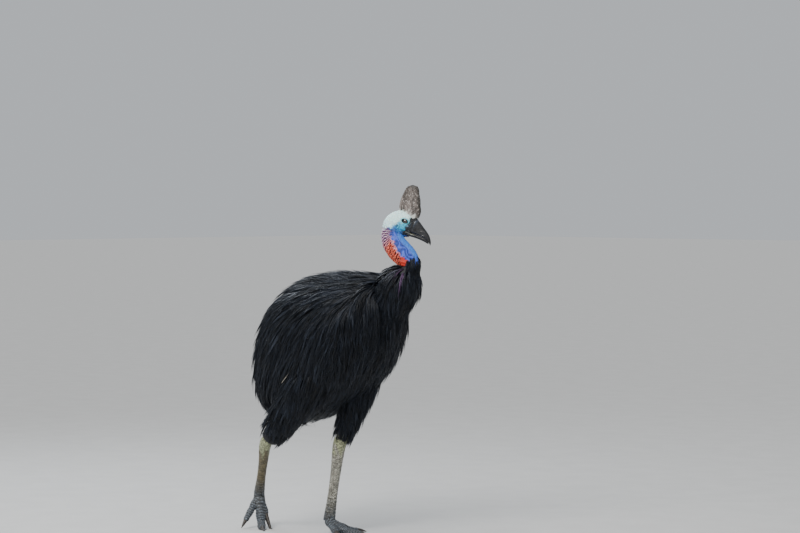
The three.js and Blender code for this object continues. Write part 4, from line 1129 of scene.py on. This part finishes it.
class CASSOWARY_OT_legs(bpy.types.Operator):
    """Makes the scaled skin of both shanks and all toes, with rings of scutes"""

    bl_idname = "cassowary.legs"
    bl_label = "Legs and toes"

    def execute(self, context):
        sizes = context.scene.cassowary
        angle = ring_angles(72)
        for name, leg in LEGS.items():
            hock, foot = np.array(leg["hock"], float), np.array(leg["foot"], float)
            drop = unit(foot - hock)
            thigh = thigh_line(leg)
            line = np.array([thigh[2], (thigh[2] + 2 * hock) / 3, hock - drop * 10, hock * 0.66 + foot * 0.34,
                             hock * 0.33 + foot * 0.67, foot + drop * 6])
            t = np.linspace(0, 1, 220)
            half = through(SHANK_HALVES, t)
            t = t[:, None]
            front = smooth(np.cos(angle), -0.35, 0.45)[None]
            scute = plates(t * SHANK_RINGS + 0.25 * np.cos(3 * angle)) ** 0.35 - 0.75
            low = smooth(t, 0.36, 0.5) * (0.45 + 0.55 * smooth(t, 0.7, 0.82))
            bump = 3.0 * scute * front * low
            forms = [sweep(line, t[:, 0], leftwards(leg["heading"]), half * 0.86, half, bump, 72)]
            toes = []
            for toe, (_, _, base, tip_half, _, _, count) in TOES.items():
                path, _, turn = toe_line(leg, toe)
                s = np.linspace(0, 1, 130)
                pads = 1 + 0.07 * np.sin(s * 3.2 * np.pi * (1 if toe == "inner" else 2))
                wide = (base + (tip_half - base) * s) * (1 - 0.25 * smooth(s, 0.93, 1.0))
                toes.append((through(path, s), s * count, wide))
                top = smooth(np.cos(angle), -0.25, 0.3)[None]
                rows = plates(s * count)[:, None] ** 0.35 - 0.7
                flat = np.stack(np.broadcast_arrays(s[:, None] * 300, 30 * angle, 0.0), -1)
                bump = 3.2 * rows * top + 1.2 * waves(flat, 14, 51) * (1 - top)
                forms.append(sweep(path, s, leftwards(turn), wide * pads, wide * 0.92 * pads, bump, 72))
            points, normals, faces = remeshed("leg_rough", *joined(*forms), sizes.leg_voxel * 1000, 2)
            points += normals * (0.35 * waves(points, 7, 55) + 0.3 * waves(points, 14, 56))[:, None]
            points[:, 2] = np.maximum(points[:, 2], 0.3 - SHIFT[2])
            groove = hollows(points, normals, faces)

            # A pale green hock, a slate foot, painted shade in the skin's hollows with a painted highlight on
            # its ridges, and dark grooves between pale rings and plates.
            share = ((points - hock) @ drop) / np.linalg.norm(foot - hock)
            colour = painted(
                np.array(leg["shade"])[None] * (1 + 0.2 * waves(points, 30, 61))[:, None],
                (HOCK_SHADE, 1 - smooth(share + 0.08 * waves(points, 24, 62), -0.05, 0.12)),
                (FOOT_SHADE, smooth(share + 0.04 * waves(points, 20, 63), 0.74, 0.98)))
            # Painted shade in the hollows and a painted highlight on the ridges.
            colour *= (1 - 0.85 * smooth(groove, 0.3, 1.8) + 0.7 * smooth(-groove, 0.3, 2.0))[:, None]
            ring = plates((0.4 + 0.6 * share) * SHANK_RINGS + 0.15 * waves(points, 30, 64))
            ringed = smooth(share, 0.6, 0.76) * (1 - smooth(share, 0.98, 1.04))
            marks = [(RING_TOP, 0.6 * ringed * smooth(ring, 0.6, 0.9)),
                     (RING_GROOVE, 0.85 * ringed * (1 - smooth(ring, 0.2, 0.5)))]
            for places, rows, wide in toes:
                stop, apart = nearest(points, places)
                above = smooth(points[:, 2] - places[stop, 2], -6, 4) * (apart < 1.4 * wide[stop])
                above *= smooth(rows[stop], 0.2, 0.8)
                plate = plates(rows[stop])
                marks += [(PLATE_TOP, 0.55 * above * smooth(plate, 0.6, 0.95)),
                          (PLATE_GROOVE, 0.85 * above * (1 - smooth(plate, 0.2, 0.5)))]
            solids = (f"shank_{name}", *(f"toe_{toe}_{name}" for toe in TOES))
            material = scaled_finish(f"leg_scales_{name}")
            piece = mesh_piece(f"leg_{name}_skin", points, faces, material, "leg_skin", solids)
            tint(piece, np.clip(painted(colour, *marks), 0, 1))
        return {"FINISHED"}


class CASSOWARY_OT_claws(bpy.types.Operator):
    """Makes the six claws, with the long dagger of each inner toe"""

    bl_idname = "cassowary.claws"
    bl_label = "Claws"

    def execute(self, context):
        material = claw_finish()
        t = np.linspace(0, 1, 60)
        growth = 0.18 * np.sin(t[:, None] * 70 + np.cos(ring_angles(40))) * (1 - t[:, None])
        for name, leg in LEGS.items():
            for toe, (_, _, _, _, _, claw_half, _) in TOES.items():
                _, hook, turn = toe_line(leg, toe)
                half = claw_half + (1.2 - claw_half) * t ** 1.3
                verts, tris = sweep(hook, t, leftwards(turn), half * 0.85, half, growth, 40)
                verts[:, 2] = np.maximum(verts[:, 2], 0.2 - SHIFT[2])
                mesh_piece(f"claw_{toe}_{name}_horn", verts, tris, material, "claw", (f"claw_{toe}_{name}",))
        return {"FINISHED"}


class CASSOWARY_OT_wings(bpy.types.Operator):
    """Makes the small wings: a forearm in the coat and bare quills that curve down and back"""

    bl_idname = "cassowary.wings"
    bl_label = "Wings and quills"

    def execute(self, context):
        material = quill_finish()
        t = np.linspace(0, 1, 30)
        for side, name in ((-1, "right"), (1, "left")):
            start = (np.array(WING_AT) - (0, 16, 0)) * (1, side, 1)
            arm = np.array([start, start + (-0.5 * WING_REACH, side * 12, -10),
                            start + (-WING_REACH, side * 8, -28)])
            forms = [sweep(arm, t, UP, WING_HALF * 0.6 * through((0.55, 1, 0.95, 0.5), t),
                           WING_THICK * 0.4 * through((0.6, 1, 1, 0.6), t))]
            for share in np.linspace(0, 1, QUILLS):
                # The first quill is longer, stands out further and has a painted highlight on its tip.
                first = share == HIGHLIGHTED_QUILL
                root = through(arm, np.array([0.45 + 0.5 * share]))[0]
                tilt = np.radians(28) + share * np.radians(46)
                length = QUILL_LENGTH * (1.1 if first else 1 - 0.2 * share)
                reach = length * np.array([-np.sin(tilt), 0, -np.cos(tilt)])
                out = LEFT * side * (22 if first else 8)
                line = np.array([root, root + 0.35 * reach + out, root + 0.7 * reach + out,
                                 root + reach + 1.4 * out + (-16, 0, 8)])
                if first:
                    shown = line[-1]
                half = QUILL_HALF * (1 - 0.7 * t)
                forms.append(sweep(line, t, UP, half, half, sides=16))
            verts, tris = joined(*forms)
            piece = mesh_piece(f"wing_{name}_quills", verts, tris, material, "quill", (f"wing_{name}",))
            # A painted highlight on the first quill's tip.
            pale = 1 - smooth(np.linalg.norm(verts - shown, axis=1), 20, 60)
            tint(piece, painted(QUILL_DARK, (QUILL_TIP_HIGHLIGHT, pale)))
        return {"FINISHED"}


class CASSOWARY_OT_under_skin(bpy.types.Operator):
    """Makes the dark skin under the coat, from rump to neck base and down both thighs"""

    bl_idname = "cassowary.under_skin"
    bl_label = "Skin under the coat"

    def execute(self, context):
        sizes = context.scene.cassowary
        u, v = np.linspace(0.03, 0.97, 60), ring_angles(60)
        rings = body_surface(np.repeat(u, 60), np.tile(v, 60), CORE_DEPTH + 2.0).reshape(60, 60, 3)
        ends = body_surface(np.array([0.0, 1.0]), np.zeros(2), CORE_DEPTH + 2.0)
        t = np.linspace(0, 1, 30)
        half = through(NECK_BASE[:, 3], t) - 37 + 12 * t ** 3
        forms = [closed(rings, *ends), sweep(NECK_BASE[:, :3], t, LEFT, half, half)]
        t = t * THIGH_END
        for leg in LEGS.values():
            half = through(leg["girth"], t) - 36 + 33 * smooth(t, 0.75, 1)
            forms.append(sweep(thigh_line(leg), t, leftwards(leg["heading"]), half * THIGH_FLATNESS, half))
        points, _, faces = remeshed("under_rough", *joined(*forms), sizes.body_voxel * 1000, 2)
        mesh_piece("under_skin", points, faces, under_skin(), "plumage",
                   ("torso", "tail", "neck_base", "thigh_right", "thigh_left"))
        return {"FINISHED"}


# Areas of the body's coat: from and to along it, and degrees round it from the spine.
BODY_COATS = {
    "rump_low": (((0.02, 0.26), (90, 180)), dict(count=5200, length=195, half=2.9, sag=0.25)),
    "rump_top": (((0.02, 0.30), (0, 90)), dict(count=7000, length=205, half=2.9)),
    "belly": (((0.26, 0.72), (112, 180)), dict(count=6000, length=165, half=2.8, sag=0.25)),
    "flank": (((0.26, 0.62), (55, 112)), dict(count=7600, length=215, half=2.7, sag=0.2)),
    "back": (((0.28, 0.66), (0, 55)), dict(count=7000, length=220, half=2.6)),
    "shoulder": (((0.6, 0.92), (0, 100)), dict(count=7800, length=190, half=2.5, sag=0.15)),
    "breast": (((0.6, 0.985), (85, 180)), dict(count=6600, length=160, half=2.5, sag=0.2)),
}
ALL_ROUND = (0, 180)


def neck_streak(u, v):
    """Where the bare skin's lavender runs on down the right side of the neck base, from its upper end."""
    return bell(np.degrees(v), -92, 9) * smooth(u, 0.72, 0.8)


def collar_streak(u, v):
    return bell(np.degrees(v), -72, 16) + 0 * u


class CASSOWARY_OT_coat(bpy.types.Operator):
    """Makes the coat: long hair-like plumes over body, neck base and thighs"""

    bl_idname = "cassowary.coat"
    bl_label = "Plumage"

    def execute(self, context):
        sizes = context.scene.cassowary
        material = feather_finish(sizes)
        for order, (name, (area, form)) in enumerate(BODY_COATS.items()):
            coat_piece(f"coat_{name}", body_surface, body_lie, area, form, material, 100 + 20 * order, sizes)
        surface = tube_surface(NECK_BASE[:, :3], NECK_BASE[:, 3], LEFT, 1.0, by_depth, 8)
        form = dict(count=6600, length=165, half=2.1, sag=0.1, at=(0, 0.45, 0.8, 1),
                    share=(1.25, 1, 0.62, 0.4), spread=7.0, turn=0.6, fall=0.03, streak=neck_streak)
        area = ((0.0, 1.0), ALL_ROUND)
        coat_piece("coat_neck_base", surface, neck_base_lie, area, form, material, 400, sizes)
        surface = tube_surface(NECK_LINE, NECK_HALVES, LEFT, NECK_FLATNESS, by_quarter_depth, 0)
        form = dict(count=1500, length=62, half=1.5, sag=0.2, at=(0, 0.2), share=(1.2, 0.7), spread=4.0,
                    each=5, streak=collar_streak)
        area = ((0.02, 0.19), ALL_ROUND)
        coat_piece("coat_collar", surface, collar_lie, area, form, material, 450, sizes)
        form = dict(count=4800, length=125, half=2.5, sag=0.3, at=(0, 0.5, 0.76), share=(1.25, 1, 0.62))
        area = ((0.12, 0.76), ALL_ROUND)
        for name, leg in LEGS.items():
            surface, lie = thigh_surface(leg), thigh_lie(leg)
            coat_piece(f"coat_thigh_{name}", surface, lie, area, form, material, 500 + leg["side"], sizes)
        return {"FINISHED"}


CAMERA_TURN, CAMERA_PITCH, CAMERA_LENS = np.radians(45), np.radians(1.58), 116.3
CAMERA_BACK, CAMERA_SIDE, CAMERA_HEIGHT = 11.0, 0.255, 1.45
FLOOR_REACH, FLOOR_DROP = 60000, -1.0
DAYLIGHT, WORLD_LIGHT = (1.0, 0.98, 0.95), (0.86, 0.9, 0.95, 1)


class CASSOWARY_OT_stage(bpy.types.Operator):
    """Sets the pale floor, the soft lights and the camera at the photo's angle"""

    bl_idname = "cassowary.stage"
    bl_label = "Floor, lights and camera"

    def execute(self, context):
        scene = context.scene
        f = Finish("floor_plain", Roughness=0.75)
        f.give(Base_Color=f.mottled(0.12, tuple(scene.cassowary.floor), 0.5, 6, 3))
        corner = np.array([(x * FLOOR_REACH, y * FLOOR_REACH, FLOOR_DROP)
                           for x, y in ((-1, -1), (1, -1), (1, 1), (-1, 1))])
        floor = mesh_piece("floor", corner - SHIFT, np.array([(0, 1, 2), (0, 2, 3)]), f.material)
        right = np.array([np.cos(CAMERA_TURN), np.sin(CAMERA_TURN), 0])
        back = np.array([np.sin(CAMERA_TURN), -np.cos(CAMERA_TURN), 0])
        # Each lamp: its place, its size, its power and its colour.
        lamps = (
            ("sky", "SUN", back * 2.0 - right * 1.6 + UP * 6.0, dict(angle=np.radians(50)), 1.5, DAYLIGHT),
            ("key", "AREA", back * 3.2 - right * 1.6 + UP * 3.4, dict(shape="DISK", size=1.8), 150, DAYLIGHT),
            ("rim", "AREA", -back * 2.6 - right * 2.0 + UP * 3.6, dict(shape="DISK", size=1.6), 80,
             (0.85, 0.92, 1.0)),
        )
        for name, kind, place, form, power, colour in lamps:
            lamp = bpy.data.lights.new(f"{name}_light", kind)
            for setting, value in (*form.items(), ("energy", power), ("color", colour)):
                setattr(lamp, setting, value)
            holder = placed(f"{name}_light", lamp)
            aim = unit(UP * 0.85 - place)
            holder.location = place
            holder.rotation_euler = (np.arccos(-aim[2]), 0, np.arctan2(-aim[0], aim[1]))
        world = bpy.data.worlds.new("studio")
        world.use_nodes = True
        sky = world.node_tree.nodes["Background"].inputs
        sky["Color"].default_value = WORLD_LIGHT
        sky["Strength"].default_value = 0.6
        scene.world = world
        camera = bpy.data.cameras.new("camera")
        camera.lens = CAMERA_LENS
        camera.sensor_width = 36.0
        camera.clip_end = 100.0
        scene.camera = placed("camera", camera)
        scene.camera.location = back * CAMERA_BACK + right * CAMERA_SIDE + UP * CAMERA_HEIGHT + SHIFT / 1000
        scene.camera.rotation_euler = (np.pi / 2 - CAMERA_PITCH, 0, CAMERA_TURN)
        return {"FINISHED"}


OPERATORS = (
    CASSOWARY_OT_stage, CASSOWARY_OT_under_skin, CASSOWARY_OT_head, CASSOWARY_OT_eyes, CASSOWARY_OT_bill,
    CASSOWARY_OT_casque, CASSOWARY_OT_wattles, CASSOWARY_OT_legs, CASSOWARY_OT_claws, CASSOWARY_OT_wings,
    CASSOWARY_OT_coat,
)


class CASSOWARY_PT_parts(bpy.types.Panel):
    """Lists the sizes and pieces of the bird"""

    bl_idname = "CASSOWARY_PT_parts"
    bl_label = "Cassowary"
    bl_space_type = "VIEW_3D"
    bl_region_type = "UI"
    bl_category = "Cassowary"

    def draw(self, context):
        sizes = context.scene.cassowary
        for name in sizes.__annotations__:
            self.layout.prop(sizes, name)
        for operator in OPERATORS:
            self.layout.operator(operator.bl_idname)


CLASSES = (BirdSizes, *OPERATORS, CASSOWARY_PT_parts)


def register():
    for each in CLASSES:
        bpy.utils.register_class(each)
    bpy.types.Scene.cassowary = bpy.props.PointerProperty(type=BirdSizes)


def unregister():
    del bpy.types.Scene.cassowary
    for each in reversed(CLASSES):
        bpy.utils.unregister_class(each)


def main():
    register()
    for operator in OPERATORS:
        module, name = operator.bl_idname.split(".")
        getattr(getattr(bpy.ops, module), name)()


if __name__ == "__main__":
    main()
